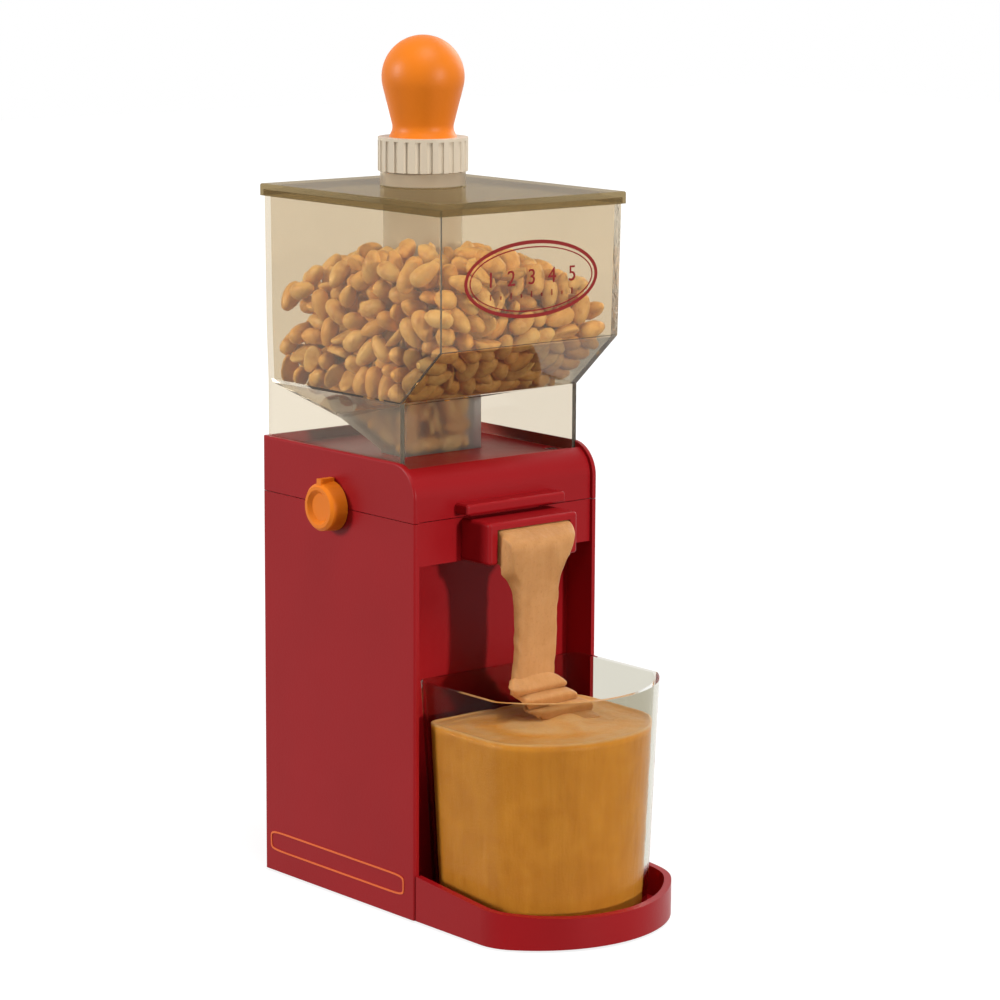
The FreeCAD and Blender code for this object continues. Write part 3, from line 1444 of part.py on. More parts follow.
def build():
    make_lower_housing()
    make_upper_housing()
    make_base_tray()
    make_feet()
    make_cord_bush()
    make_terminal_block()
    make_cup()
    make_hopper()
    make_lid()
    make_pusher_tube()
    make_pusher_cap()
    make_pusher_knob()
    make_side_knob()
    make_switch_shaft()
    make_switch_body()
    make_spout_block()
    make_chamber()
    make_seal()
    make_fixed_burr()
    make_rotating_burr()
    make_auger()
    make_drive_shaft()
    make_output_gear()
    make_idler_gear()
    make_motor_pinion()
    make_front_plate()
    make_rear_plate()
    make_pillars()
    make_shaft_bushes()
    make_idler_pin()
    make_motor_can()
    make_motor_end_cap()
    make_motor_bearings()
    make_magnets()
    make_armature()
    make_motor_shaft()
    make_fan()
    make_screws()
    doc.recompute()


def check():
    for item in doc.Objects:
        if {"Invalid", "Error"} & set(item.State):
            raise RuntimeError(f"{item.Label}: {item.State}")
    for piece in pieces:
        if piece.Shape.isNull() or not piece.Shape.isValid():
            raise RuntimeError(f"{piece.Label} has no valid shape")


def write():
    os.makedirs("parts", exist_ok=True)
    for piece in pieces:
        piece.Shape.exportStep(f"parts/{piece.Label}.step")


build()
check()
write()
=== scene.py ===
"""Looks of a nut butter grinder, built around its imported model, with the nuts and the butter in it."""
import math

import bmesh
import bpy
import numpy as np
from mathutils import Matrix, Vector


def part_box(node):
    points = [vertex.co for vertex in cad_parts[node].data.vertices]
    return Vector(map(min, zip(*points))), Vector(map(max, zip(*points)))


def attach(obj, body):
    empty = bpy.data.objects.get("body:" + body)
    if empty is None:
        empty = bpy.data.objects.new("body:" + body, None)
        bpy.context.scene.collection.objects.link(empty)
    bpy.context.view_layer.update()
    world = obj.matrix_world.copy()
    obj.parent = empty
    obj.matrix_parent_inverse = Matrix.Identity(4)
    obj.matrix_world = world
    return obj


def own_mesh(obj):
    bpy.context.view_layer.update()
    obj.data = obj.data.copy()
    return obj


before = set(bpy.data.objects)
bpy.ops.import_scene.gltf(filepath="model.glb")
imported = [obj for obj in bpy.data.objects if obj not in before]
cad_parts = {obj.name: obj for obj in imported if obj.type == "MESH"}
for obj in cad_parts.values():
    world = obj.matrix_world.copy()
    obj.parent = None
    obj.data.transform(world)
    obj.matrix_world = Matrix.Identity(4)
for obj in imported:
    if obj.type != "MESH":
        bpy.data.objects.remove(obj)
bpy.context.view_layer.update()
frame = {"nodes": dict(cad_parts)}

bl_info = {
    "name": "Nut butter grinder",
    "version": (1, 0, 0),
    "blender": (4, 5, 0),
    "location": "View3D > Sidebar > Grinder",
    "description": "Finishes the grinder's parts and adds its nuts, its butter and a stage",
    "category": "Object",
}

NODES = frame["nodes"]
MM = 0.001
# The machine's own origin is in its middle plane, at its front panels and on the table.
ORIGIN = np.array((3.75, -14.9, 0.0)) * MM


def place(points):
    """Millimetres from the machine's own origin, as metres in the model."""
    return np.asarray(points, float) * MM + ORIGIN


# ---------------------------------------------------------------- nodes

def fill(tree, node, inputs):
    """Gives a node its input values or links, by socket name or number."""
    for key, value in inputs.items():
        if isinstance(value, bpy.types.NodeSocket):
            tree.links.new(value, node.inputs[key])
        else:
            node.inputs[key].default_value = value


def add_node(tree, kind, inputs=None, **settings):
    """A node with its settings and its input values or links."""
    node = tree.nodes.new(kind)
    for key, value in settings.items():
        setattr(node, key, value)
    fill(tree, node, inputs or {})
    return node


def math_node(tree, operation, a, b=0.0, clamp=False):
    """The result of a math node on two numbers or sockets."""
    return add_node(tree, "ShaderNodeMath", {0: a, 1: b}, operation=operation, use_clamp=clamp).outputs[0]


def above(tree, value, edge, gain):
    """How far a value is above an edge, times a gain, held between zero and one."""
    return math_node(tree, "MULTIPLY", math_node(tree, "SUBTRACT", value, edge, clamp=True), gain, clamp=True)


def mix_colour(tree, share, first, second):
    """A colour that goes from the first to the second as the share goes from zero to one."""
    return add_node(tree, "ShaderNodeMix", {"Factor": share, "A": first, "B": second},
                    data_type="RGBA").outputs[2]


def object_spot(tree):
    """Where a point of the surface is in its object."""
    return add_node(tree, "ShaderNodeTexCoord").outputs["Object"]


def stretched(tree, spot, scale, turn=(0.0, 0.0, 0.0)):
    """A spot turned and then scaled axis by axis, which draws noise out into lines."""
    return add_node(tree, "ShaderNodeMapping", {"Vector": spot, "Rotation": turn, "Scale": scale}).outputs[0]


def noise(tree, spot, scale, detail, distortion=0.0):
    """Noise between zero and one, with so many waves to the metre."""
    return add_node(tree, "ShaderNodeTexNoise", {"Vector": spot, "Scale": scale, "Detail": detail,
                                                 "Distortion": distortion}).outputs[0]


def bump(tree, height, strength, distance, under=None, invert=False):
    """A normal that a height tilts, over another bump's normal where one is given."""
    inputs = {"Height": height, "Strength": strength, "Distance": distance}
    if under is not None:
        inputs["Normal"] = under
    return add_node(tree, "ShaderNodeBump", inputs, invert=invert).outputs[0]


def rgba(colour):
    """A colour with full alpha."""
    return (*colour[:3], 1.0)


def toned(colour, *factors):
    """A colour times one factor, or its red, green and blue times three."""
    return tuple(np.multiply(colour[:3], factors))


# ---------------------------------------------------------------- skins

def new_skin(name, inputs):
    """An empty node group with named inputs that puts out a colour, a roughness and a normal."""
    tree = bpy.data.node_groups.new(name, "ShaderNodeTree")
    for label, kind, value in inputs:
        socket = tree.interface.new_socket(label, in_out="INPUT", socket_type="NodeSocket" + kind)
        socket.default_value = value
    for label, kind in (("Colour", "Color"), ("Roughness", "Float"), ("Normal", "Vector")):
        tree.interface.new_socket(label, in_out="OUTPUT", socket_type="NodeSocket" + kind)
    return tree, tree.nodes.new("NodeGroupInput").outputs, tree.nodes.new("NodeGroupOutput")


def build_moulded_skin():
    """Moulded plastic: fine orange peel, faint cloudiness, handling smears and thin scratches."""
    tree, source, sink = new_skin("Moulded skin", (
        ("Colour", "Color", (0.5, 0.5, 0.5, 1)), ("Deep colour", "Color", (0.4, 0.4, 0.4, 1)),
        ("Roughness", "Float", 0.3), ("Smears", "Float", 0.1), ("Peel size", "Float", 700.0),
        ("Peel depth", "Float", 0.1), ("Scratches", "Float", 0.2)))
    spot = object_spot(tree)
    cloud = noise(tree, spot, 22.0, 4.0)
    smear = noise(tree, spot, 60.0, 6.0, 1.2)
    peel = noise(tree, spot, source["Peel size"], 2.0)
    streak = noise(tree, stretched(tree, spot, (30.0, 900.0, 60.0), (0.5, 0.9, 0.3)), 1.0, 3.0)
    scratch = above(tree, streak, 0.66, 6.0)
    lift = math_node(tree, "MULTIPLY", math_node(tree, "SUBTRACT", smear, 0.45), source["Smears"])
    smeared = math_node(tree, "ADD", source["Roughness"], lift)
    rub = math_node(tree, "MULTIPLY", scratch, source["Scratches"])
    groove = math_node(tree, "MULTIPLY", source["Scratches"], 0.3)
    peeled = bump(tree, peel, source["Peel depth"], 0.0004)
    fill(tree, sink, {
        "Colour": mix_colour(tree, cloud, source["Deep colour"], source["Colour"]),
        "Roughness": math_node(tree, "ADD", smeared, rub, clamp=True),
        "Normal": bump(tree, scratch, groove, 0.0001, peeled, invert=True)})


def build_drawn_metal():
    """Machined metal: fine drawn lines, stains and a broken gloss."""
    tree, source, sink = new_skin("Drawn metal", (
        ("Colour", "Color", (0.6, 0.6, 0.6, 1)), ("Stain", "Color", (0.4, 0.38, 0.35, 1)),
        ("Roughness", "Float", 0.3), ("Lines", "Float", 0.3)))
    spot = object_spot(tree)
    line = noise(tree, stretched(tree, spot, (1400.0, 30.0, 1400.0)), 1.0, 2.0)
    stain = above(tree, noise(tree, spot, 90.0, 5.0), 0.5, 2.2)
    uneven = math_node(tree, "MULTIPLY", math_node(tree, "SUBTRACT", line, 0.5), 0.25)
    fill(tree, sink, {
        "Colour": mix_colour(tree, stain, source["Colour"], source["Stain"]),
        "Roughness": math_node(tree, "ADD", source["Roughness"], uneven, clamp=True),
        "Normal": bump(tree, line, source["Lines"], 0.0001)})


def lay_skin(tree, name, inputs):
    """Places a skin group, and gives what it puts out by the shader's names for it."""
    skin = add_node(tree, "ShaderNodeGroup", inputs, node_tree=bpy.data.node_groups[name]).outputs
    return {"Base Color": skin["Colour"], "Roughness": skin["Roughness"], "Normal": skin["Normal"]}


# ---------------------------------------------------------------- materials

def new_material(name):
    """A material with one Principled shader joined to its output, its tree and that shader."""
    material = bpy.data.materials.new(name)
    material.use_nodes = True
    tree = material.node_tree
    tree.nodes.clear()
    shader = add_node(tree, "ShaderNodeBsdfPrincipled")
    add_node(tree, "ShaderNodeOutputMaterial", {"Surface": shader.outputs[0]})
    return material, tree, shader


def show(tree, shader):
    """Joins a shader to the material's output in place of the one that was there."""
    tree.links.new(shader.outputs[0], tree.nodes["Material Output"].inputs["Surface"])


def plastic(name, colour, deep, roughness=0.25, smears=0.12, peel=700.0, depth=0.12, scratches=0.05,
            specular=0.2):
    """Moulded plastic in a colour that is clouded with a deeper shade."""
    material, tree, shader = new_material(name)
    skin = lay_skin(tree, "Moulded skin", {
        "Colour": rgba(colour), "Deep colour": rgba(deep), "Roughness": roughness, "Smears": smears,
        "Peel size": peel, "Peel depth": depth, "Scratches": scratches})
    fill(tree, shader, {**skin, "Specular IOR Level": specular})
    return material


def metal(name, colour, stain, roughness=0.3, lines=0.25):
    """Machined metal in a colour with stains."""
    material, tree, shader = new_material(name)
    skin = lay_skin(tree, "Drawn metal", {
        "Colour": rgba(colour), "Stain": rgba(stain), "Roughness": roughness, "Lines": lines})
    fill(tree, shader, {**skin, "Metallic": 1.0})
    return material


def inside_box(tree, spot, low, high):
    """One inside a box given by two opposite corners, and down to zero over the last 0.7 mm at its faces."""
    share = 1.0
    for axis, near, far in zip("XYZ", low, high):
        for upper, lower in ((spot[axis], near), (far, spot[axis])):
            share = math_node(tree, "MULTIPLY", above(tree, upper, lower, 1500.0), share)
    return share


def clear_plastic(name, colour, deep, roughness, shade, clearness=1.0, index=1.12, dulled_and_shaded=(), crossings=8):
    """See-through plastic that lets the lamps' light through to what it holds. Light that has met more faces
    than the crossings goes straight on. Each dulled or shaded part gives two opposite corners of a box, the
    colour inside it and how much rougher the plastic is there; that colour is frosting, painted shade or a
    painted highlight."""
    material, tree, shader = new_material(name)
    skin = lay_skin(tree, "Moulded skin", {
        "Colour": rgba(colour), "Deep colour": rgba(deep), "Roughness": roughness, "Smears": 0.05,
        "Peel size": 260.0, "Peel depth": 0.02, "Scratches": 0.12})
    spot = add_node(tree, "ShaderNodeSeparateXYZ", {"Vector": object_spot(tree)}).outputs
    # A part's colour is frosting, painted shade or a painted highlight, as each part is given.
    for low, high, dull_and_shade, rub in dulled_and_shaded:
        share = inside_box(tree, spot, low, high)
        rubbed = math_node(tree, "MULTIPLY", share, rub)
        skin["Roughness"] = math_node(tree, "ADD", skin["Roughness"], rubbed)
        skin["Base Color"] = mix_colour(tree, share, skin["Base Color"], rgba(dull_and_shade))
    fill(tree, shader, {**skin, "Transmission Weight": clearness, "IOR": index})
    path = add_node(tree, "ShaderNodeLightPath").outputs
    soft = math_node(tree, "MAXIMUM", path["Is Shadow Ray"], path["Is Diffuse Ray"])
    deep_in = math_node(tree, "GREATER_THAN", path["Ray Depth"], crossings)
    straight = math_node(tree, "MAXIMUM", soft, deep_in)
    through = add_node(tree, "ShaderNodeBsdfTransparent", {"Color": rgba(shade)})
    show(tree, add_node(tree, "ShaderNodeMixShader", {
        0: straight, 1: shader.outputs[0], 2: through.outputs[0]}))
    return material


def dress(material, *names):
    """Gives a material to CAD nodes through their objects' own slots."""
    for name in names:
        for slot in NODES[name].material_slots:
            slot.link = "OBJECT"
            slot.material = material


# ---------------------------------------------------------------- settings

def colour_setting(name, description, default):
    """A colour that a user may change."""
    return bpy.props.FloatVectorProperty(name=name, description=description, subtype="COLOR", size=3, min=0,
                                         max=1, default=default)


def length_setting(name, description, default):
    """A length that a user may change."""
    return bpy.props.FloatProperty(name=name, description=description, subtype="DISTANCE", unit="LENGTH",
                                   default=default)


def angle_setting(name, description, degrees):
    """An angle that a user may change."""
    return bpy.props.FloatProperty(name=name, description=description, subtype="ANGLE",
                                   default=math.radians(degrees))


def light_setting(name, description, default):
    """A light's strength that a user may change."""
    return bpy.props.FloatProperty(name=name, description=description, min=0, default=default)


class GrinderFinish(bpy.types.PropertyGroup):
    """Colours of the grinder's parts"""
    casing: colour_setting("Casing", "Colour of the housings, the tray and the spout", (0.30, 0.006, 0.009))
    casing_deep: colour_setting(
        "Casing, deep", "Darker shade that clouds the casing", (0.245, 0.0045, 0.0065))
    knobs: colour_setting(
        "Knobs", "Colour of the pusher's ball and of the control knob", (0.74, 0.185, 0.008))
    cap: colour_setting("Pusher cap", "Colour of the ribbed cap", (0.62, 0.53, 0.405))
    hopper: colour_setting("Hopper", "Tint of the see-through hopper", (0.78, 0.70, 0.57))
    lid: colour_setting("Lid", "Tint of the see-through lid", (0.335, 0.255, 0.135))
    cup: colour_setting("Cup", "Tint of the see-through cup", (0.64, 0.62, 0.54))
    mark: colour_setting("Mark", "Colour printed on the hopper", (0.24, 0.012, 0.010))
    frame: colour_setting("Side frame", "Colour of the frame on the casing's side", (0.75, 0.14, 0.03))


class FoodSettings(bpy.types.PropertyGroup):
    """Nuts in the hopper and butter in the cup"""
    kernels: bpy.props.IntProperty(
        name="Kernels", description="Number of nuts in the hopper", default=760, min=1)
    kernel_length: length_setting("Kernel length", "Length of a nut", 0.0136)
    kernel_width: length_setting("Kernel width", "Width of a nut", 0.0084)
    heap_height: length_setting("Heap height", "Height of the heap's crown above the table", 0.284)
    nuts: colour_setting("Nuts", "Colour of the roasted kernels", (0.78, 0.39, 0.085))
    butter_level: length_setting("Butter level", "Height of the butter above the table", 0.0832)
    butter: colour_setting("Butter", "Colour of the butter in the cup", (0.88, 0.37, 0.05))
    stream: colour_setting("Stream", "Colour of the falling butter", (0.55, 0.275, 0.105))


class StageSettings(bpy.types.PropertyGroup):
    """Camera, lamps and floor"""
    azimuth: angle_setting("Azimuth", "How far the camera stands round from the front", -39.98)
    elevation: angle_setting("Elevation", "How far the camera looks down", 10.2)
    roll: angle_setting("Roll", "Turn of the camera about its own axis", 0.3)
    distance: length_setting("Distance", "From the camera to its target", 1.51954)
    target: bpy.props.FloatVectorProperty(
        name="Target", description="Point at the picture's centre, from the machine's own origin", size=3,
        subtype="TRANSLATION", unit="LENGTH", default=(0.03779, 0.05, 0.16055))
    lens: bpy.props.FloatProperty(
        name="Lens", description="Focal length in millimetres on a 36 mm sensor", default=127.19)
    key: light_setting("Key", "Strength of the lamp in front", 1.95)
    side: light_setting("Side", "Strength of the lamp at the left", 2.6)
    far: light_setting("Far", "Strength of the lamp at the right", 1.1)
    top: light_setting("Top", "Strength of the lamp above", 2.1)
    ambient: light_setting("Ambient", "Light from all round", 0.22)


# ---------------------------------------------------------------- stage

def toward(azimuth, elevation):
    """Unit vector that points out at an azimuth from the front and an elevation."""
    return Vector((math.sin(azimuth) * math.cos(elevation), -math.cos(azimuth) * math.cos(elevation),
                   math.sin(elevation)))


def seen_white(tree):
    """One where the camera, a reflection or a clear part looks, else zero."""
    path = add_node(tree, "ShaderNodeLightPath").outputs
    seen = math_node(tree, "MAXIMUM", path["Is Camera Ray"], path["Is Glossy Ray"])
    return math_node(tree, "MAXIMUM", seen, path["Is Transmission Ray"])


class GRINDER_OT_stage(bpy.types.Operator):
    """Sets the floor, the lamps, the world and the camera"""
    bl_idname = "grinder.stage"
    bl_label = "Stage"

    def execute(self, context):
        settings = context.scene.grinder_stage
        self.camera(context.scene, settings)
        self.lamps(context.scene, settings)
        self.world(context.scene, settings)
        self.floor(context.scene)
        context.scene.view_settings.view_transform = "Standard"
        return {"FINISHED"}

    def camera(self, scene, settings):
        """A camera that stands off its target by a distance, and is turned about its own axis by the roll."""
        back = toward(settings.azimuth, settings.elevation)
        right = (-back).cross(Vector((0, 0, 1))).normalized()
        up = right.cross(-back)
        cos, sin = math.cos(settings.roll), math.sin(settings.roll)
        right, up = right * cos + up * sin, up * cos - right * sin
        stand = Vector(ORIGIN) + Vector(settings.target) + back * settings.distance
        camera = bpy.data.objects.new("Camera", bpy.data.cameras.new("Camera"))
        camera.data.lens = settings.lens
        camera.data.sensor_width = 36
        camera.data.clip_start = 0.05
        camera.matrix_world = Matrix((
            (right.x, up.x, back.x, stand.x), (right.y, up.y, back.y, stand.y),
            (right.z, up.z, back.z, stand.z), (0, 0, 0, 1)))
        scene.collection.objects.link(camera)
        scene.camera = camera

    def lamps(self, scene, settings):
        """Four far lamps, each with its azimuth, elevation, strength and spread in degrees."""
        for name, azimuth, elevation, strength, spread in (
                ("key_lamp", 8, 7.5, settings.key, 4), ("side_lamp", -119, 15, settings.side, 14),
                ("far_lamp", 104, 22, settings.far, 40), ("top_lamp", -10, 68, settings.top, 30)):
            lamp = bpy.data.lights.new(name, "SUN")
            lamp.energy = strength
            lamp.angle = math.radians(spread)
            holder = bpy.data.objects.new(name, lamp)
            out = toward(math.radians(azimuth), math.radians(elevation))
            holder.matrix_world = Matrix.Translation(out) @ out.to_track_quat("Z", "Y").to_matrix().to_4x4()
            scene.collection.objects.link(holder)

    def world(self, scene, settings):
        """A room that is seen white and gives a dim light."""
        world = bpy.data.worlds.new("Plain room")
        scene.world = world
        world.use_nodes = True
        tree = world.node_tree
        tree.nodes.clear()
        dim, white = (add_node(tree, "ShaderNodeBackground", {"Color": (1, 1, 1, 1), "Strength": strength})
                      for strength in (settings.ambient, 1.0))
        mix = add_node(tree, "ShaderNodeMixShader", {
            0: seen_white(tree), 1: dim.outputs[0], 2: white.outputs[0]})
        add_node(tree, "ShaderNodeOutputWorld", {"Surface": mix.outputs[0]})

    def floor(self, scene):
        """A floor that glows where it is seen, so that it meets the white room and keeps the shadow."""
        reach, glow = 4.0, 0.82
        mesh = bpy.data.meshes.new("floor")
        corners = [(-reach, -reach, 0), (reach, -reach, 0), (reach, reach, 0), (-reach, reach, 0)]
        mesh.from_pydata(corners, [], [(0, 1, 2, 3)])
        floor = bpy.data.objects.new("floor", mesh)
        scene.collection.objects.link(floor)
        material, tree, shader = new_material("Pale floor")
        grain = noise(tree, object_spot(tree), 40.0, 3.0)
        fill(tree, shader, {
            "Base Color": mix_colour(tree, grain, (0.24, 0.24, 0.235, 1), (0.26, 0.26, 0.255, 1)),
            "Roughness": 0.9, "Specular IOR Level": 0.0})
        shine = add_node(tree, "ShaderNodeEmission", {
            "Strength": math_node(tree, "MULTIPLY", seen_white(tree), glow)})
        show(tree, add_node(tree, "ShaderNodeAddShader", {0: shader.outputs[0], 1: shine.outputs[0]}))
        mesh.materials.append(material)


# ---------------------------------------------------------------- finishes of the CAD nodes

class GRINDER_OT_casing(bpy.types.Operator):
    """Finishes the housings, the tray and the spout as glossy moulded plastic"""
    bl_idname = "grinder.casing"
    bl_label = "Casing"

    def execute(self, context):
        finish = context.scene.grinder_finish
        red = plastic("Casing plastic", finish.casing, finish.casing_deep, roughness=0.34, smears=0.16,
                      peel=900.0, depth=0.1, specular=0.13)
        dress(red, "lower_housing", "upper_housing", "base_tray", "spout_block")
        return {"FINISHED"}


class GRINDER_OT_clear_ware(bpy.types.Operator):
    """Finishes the hopper, its lid, the cup and the pusher's tube as see-through plastic"""
    bl_idname = "grinder.clear_ware"
    bl_label = "Clear ware"

    def execute(self, context):
        finish = context.scene.grinder_finish
        # Each dulled or shaded part reaches past the model where it has no bound of its own.
        low_x, low_y, high = -1, -1, 1
        middle, slope_back = ORIGIN[0], float(place((0, 13.8, 0))[1])
        lid_top, rim = float(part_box("hopper")[1][2]), float(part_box("cup")[1][2])
        neck = (middle - 0.023, low_y, 0), (middle + 0.023, high, 0.2125), (0.49, 0.48, 0.46), 0.6
        # Painted shade: the slope's darker colour darkens the nuts seen through the down-facing front pane,
        # with no added roughness.
        slope = (low_x, low_y, 0.2145), (high, slope_back, 0.2378), (0.48, 0.44, 0.37), 0.0
        dress(clear_plastic("Hopper plastic", finish.hopper, toned(finish.hopper, 0.96), 0.03,
                            (0.95, 0.93, 0.89), clearness=0.95, index=1.2, dulled_and_shaded=(neck, slope)), "hopper")
        collar_foot = lid_top + 0.0028
        collar = (middle - 0.024, low_y, collar_foot), (middle + 0.024, high, high), (0.74, 0.65, 0.53), 0.3
        dress(clear_plastic("Lid plastic", finish.lid, toned(finish.lid, 0.94), 0.08, (0.92, 0.90, 0.85),
                            clearness=0.8, index=1.02, dulled_and_shaded=(collar,)), "hopper_lid")
        # Painted highlight: the rim's whiter colour stands for a highlight along it; the rim is also made
        # rougher.
        edge = (low_x, low_y, rim - 0.0004), (high, high, high), (0.93, 0.93, 0.91), 0.3
        dress(clear_plastic("Cup plastic", finish.cup, toned(finish.cup, 0.97), 0.02, (0.95, 0.95, 0.93),
                            index=1.1, dulled_and_shaded=(edge,), crossings=3), "cup")
        dress(clear_plastic("Pusher tube plastic", (0.80, 0.75, 0.66), (0.76, 0.70, 0.61), 0.3,
                            (0.9, 0.88, 0.84), clearness=0.7), "pusher_tube")
        return {"FINISHED"}


class GRINDER_OT_knobs(bpy.types.Operator):
    """Finishes the pusher's ball, the control knob and the ribbed cap"""
    bl_idname = "grinder.knobs"
    bl_label = "Knobs"

    def execute(self, context):
        finish = context.scene.grinder_finish
        dress(plastic("Knob plastic", finish.knobs, toned(finish.knobs, 0.85), roughness=0.42, smears=0.2,
                      depth=0.15), "pusher_knob", "side_knob")
        dress(plastic("Cap plastic", finish.cap, toned(finish.cap, 0.93), roughness=0.45, depth=0.15),
              "pusher_cap")
        return {"FINISHED"}


class GRINDER_OT_works(bpy.types.Operator):
    """Finishes the motor, the gears, the mill and the small fittings inside"""
    bl_idname = "grinder.works"
    bl_label = "Works"

    def execute(self, context):
        dress(metal("Bright steel", (0.62, 0.61, 0.60), (0.48, 0.46, 0.43), 0.28),
              "base_screws", "chamber_screws", "deck_screws", "drive_shaft", "gearbox_front_plate",
              "gearbox_pillars", "gearbox_rear_plate", "gearbox_screws", "idler_pin", "motor_can",
              "motor_screws", "motor_shaft", "motor_armature", "pusher_screw", "spout_screws")
        dress(metal("Burr steel", (0.45, 0.44, 0.43), (0.33, 0.31, 0.28), 0.4),
              "auger", "rotating_burr", "fixed_burr")
        dress(metal("Cast alloy", (0.55, 0.55, 0.56), (0.46, 0.46, 0.47), 0.5, 0.1), "grinding_chamber")
        dress(metal("Pinion brass", (0.72, 0.50, 0.20), (0.55, 0.38, 0.16), 0.3),
              "motor_pinion", "shaft_bushes", "motor_bearings")
        dress(metal("Magnet", (0.16, 0.16, 0.17), (0.11, 0.11, 0.12), 0.5, 0.1), "motor_magnets")
        dress(plastic("Black plastic", (0.025, 0.025, 0.027), (0.018, 0.018, 0.02), roughness=0.45),
              "cord_bush", "switch_body", "terminal_block", "motor_end_cap", "cooling_fan", "switch_shaft")
        dress(plastic("Gear nylon", (0.78, 0.74, 0.64), (0.68, 0.64, 0.55), roughness=0.5),
              "idler_gear", "output_gear")
        dress(plastic("Rubber", (0.03, 0.03, 0.032), (0.02, 0.02, 0.022), roughness=0.8, depth=0.4,
                      scratches=0.0, specular=0.25), "rubber_feet", "chamber_seal")
        return {"FINISHED"}


# ---------------------------------------------------------------- meshes

def add_object(name, mesh):
    """An object for a mesh, linked to the scene."""
    piece = bpy.data.objects.new(name, mesh)
    bpy.context.scene.collection.objects.link(piece)
    return piece


def new_piece(name, points, faces, material, smooth=True):
    """A mesh object from corner places in metres and lists of corner numbers."""
    mesh = bpy.data.meshes.new(name)
    mesh.from_pydata(points.reshape(-1, 3), [], faces)
    mesh.polygons.foreach_set("use_smooth", np.full(len(mesh.polygons), smooth))
    mesh.materials.append(material)
    return add_object(name, mesh)


def ring_faces(rows, columns):
    """Quads between neighbouring rings of corners, each ring closed on itself."""
    row, column = np.meshgrid(np.arange(rows - 1), np.arange(columns), indexing="ij")
    after = (column + 1) % columns
    quads = (row * columns + column, row * columns + after,
             (row + 1) * columns + after, (row + 1) * columns + column)
    return np.stack(quads, -1).reshape(-1, 4)


def end_fans(rows, columns):
    """Triangles that close a stack of rings with one more corner at each end."""
    column = np.arange(columns)
    after, last = (column + 1) % columns, (rows - 1) * columns
    first_end, last_end = np.full(columns, rows * columns), np.full(columns, rows * columns + 1)
    return np.concatenate((np.stack((first_end, after, column), -1),
                           np.stack((last_end, last + column, last + after), -1)))


def capped(rings):
    """Corners and faces of a stack of closed rings (rows x columns x 3) whose two ends are closed by fans
    about their middles. The faces are turned over where the volume they hold comes out negative."""
    rows, columns = rings.shape[:2]
    points = np.concatenate((rings.reshape(-1, 3), rings[0].mean(0)[None], rings[-1].mean(0)[None]))
    quads, fans = ring_faces(rows, columns), end_fans(rows, columns)
    triangles = np.concatenate((quads[:, :3], quads[:, [0, 2, 3]], fans))
    a, b, c = (points[triangles[:, k]] for k in range(3))
    if np.einsum("ij,ij->", a, np.cross(b, c)) < 0:
        quads, fans = quads[:, ::-1], fans[:, ::-1]
    return points, quads.tolist() + fans.tolist()


def smooth_step(x):
    """Rises smoothly from zero to one as x does: x squared times (3 - 2x)."""
    x = np.clip(x, 0, 1)
    return x * x * (3 - 2 * x)


# ---------------------------------------------------------------- nuts

def wall(normal, spot):
    """A flat wall through a spot: its unit inward normal and its distance from the origin along it."""
    normal = np.array(normal, float)
    normal /= np.linalg.norm(normal)
    return (*normal, normal @ np.array(spot, float))


# Inside of the hopper and of its neck, in millimetres.
BOX_WALLS = np.array((
    wall((1, 0, 0), (-45.0, 0, 0)), wall((-1, 0, 0), (45.0, 0, 0)),
    wall((0, 1, 0), (0, -11.7, 0)), wall((0, -1, 0), (0, 99.6, 0)),
    wall((0, 23.1, 25.5), (0, -11.7, 238.0)), wall((0, 7.4, 30.4), (0, 13.8, 214.9)),
    wall((0, -16.9, 16.5), (0, 99.3, 214.9)), wall((12.2, 0, 26.8), (-45, 0, 214.9)),
    wall((-12.2, 0, 26.8), (45, 0, 214.9))))
NECK_HALF = 18.2
NECK_WALLS = np.array((
    wall((1, 0, 0), (-NECK_HALF, 0, 0)), wall((-1, 0, 0), (NECK_HALF, 0, 0)), wall((0, 1, 0), (0, 44.2, 0)),
    wall((0, -10.5, 27.5), (0, 82.8, 198.0)), wall((0, 0, 1), (0, 0, 183.0))))
# The neck's mouth: y and z of its front edge, and how it falls to the back.
MOUTH_FRONT, MOUTH_SLOPE = np.array((44.2, 207.5)), -9.5 / 38.6
# The pusher's tube: x and y of its axis, its radius and the height of its lower end.
TUBE_AXIS, TUBE_REACH, TUBE_END = np.array((0.0, 56.1)), 16.1, 262.0


def heap_top(spots, crown):
    """Height of the heap: it falls a little to the back, more to the front right, and in the back corner."""
    x, y = spots[:, 0], spots[:, 1]
    back = 0.2 * np.maximum(y - 40, 0)
    right = np.maximum(x + 10, 0) / 50 * np.maximum(24 - 0.25 * (y + 6), 5)
    corner = 0.018 * np.maximum(-x - 30, 0) * np.maximum(y - 60, 0)
    return crown - back - right - corner


def push_inside(spots, walls, reach):
    """Moves the spots in from each wall that they stand nearer to than their reach."""
    for *normal, distance in walls:
        short = np.maximum(distance + reach - spots @ np.array(normal), 0)
        spots += short[:, None] * np.array(normal)


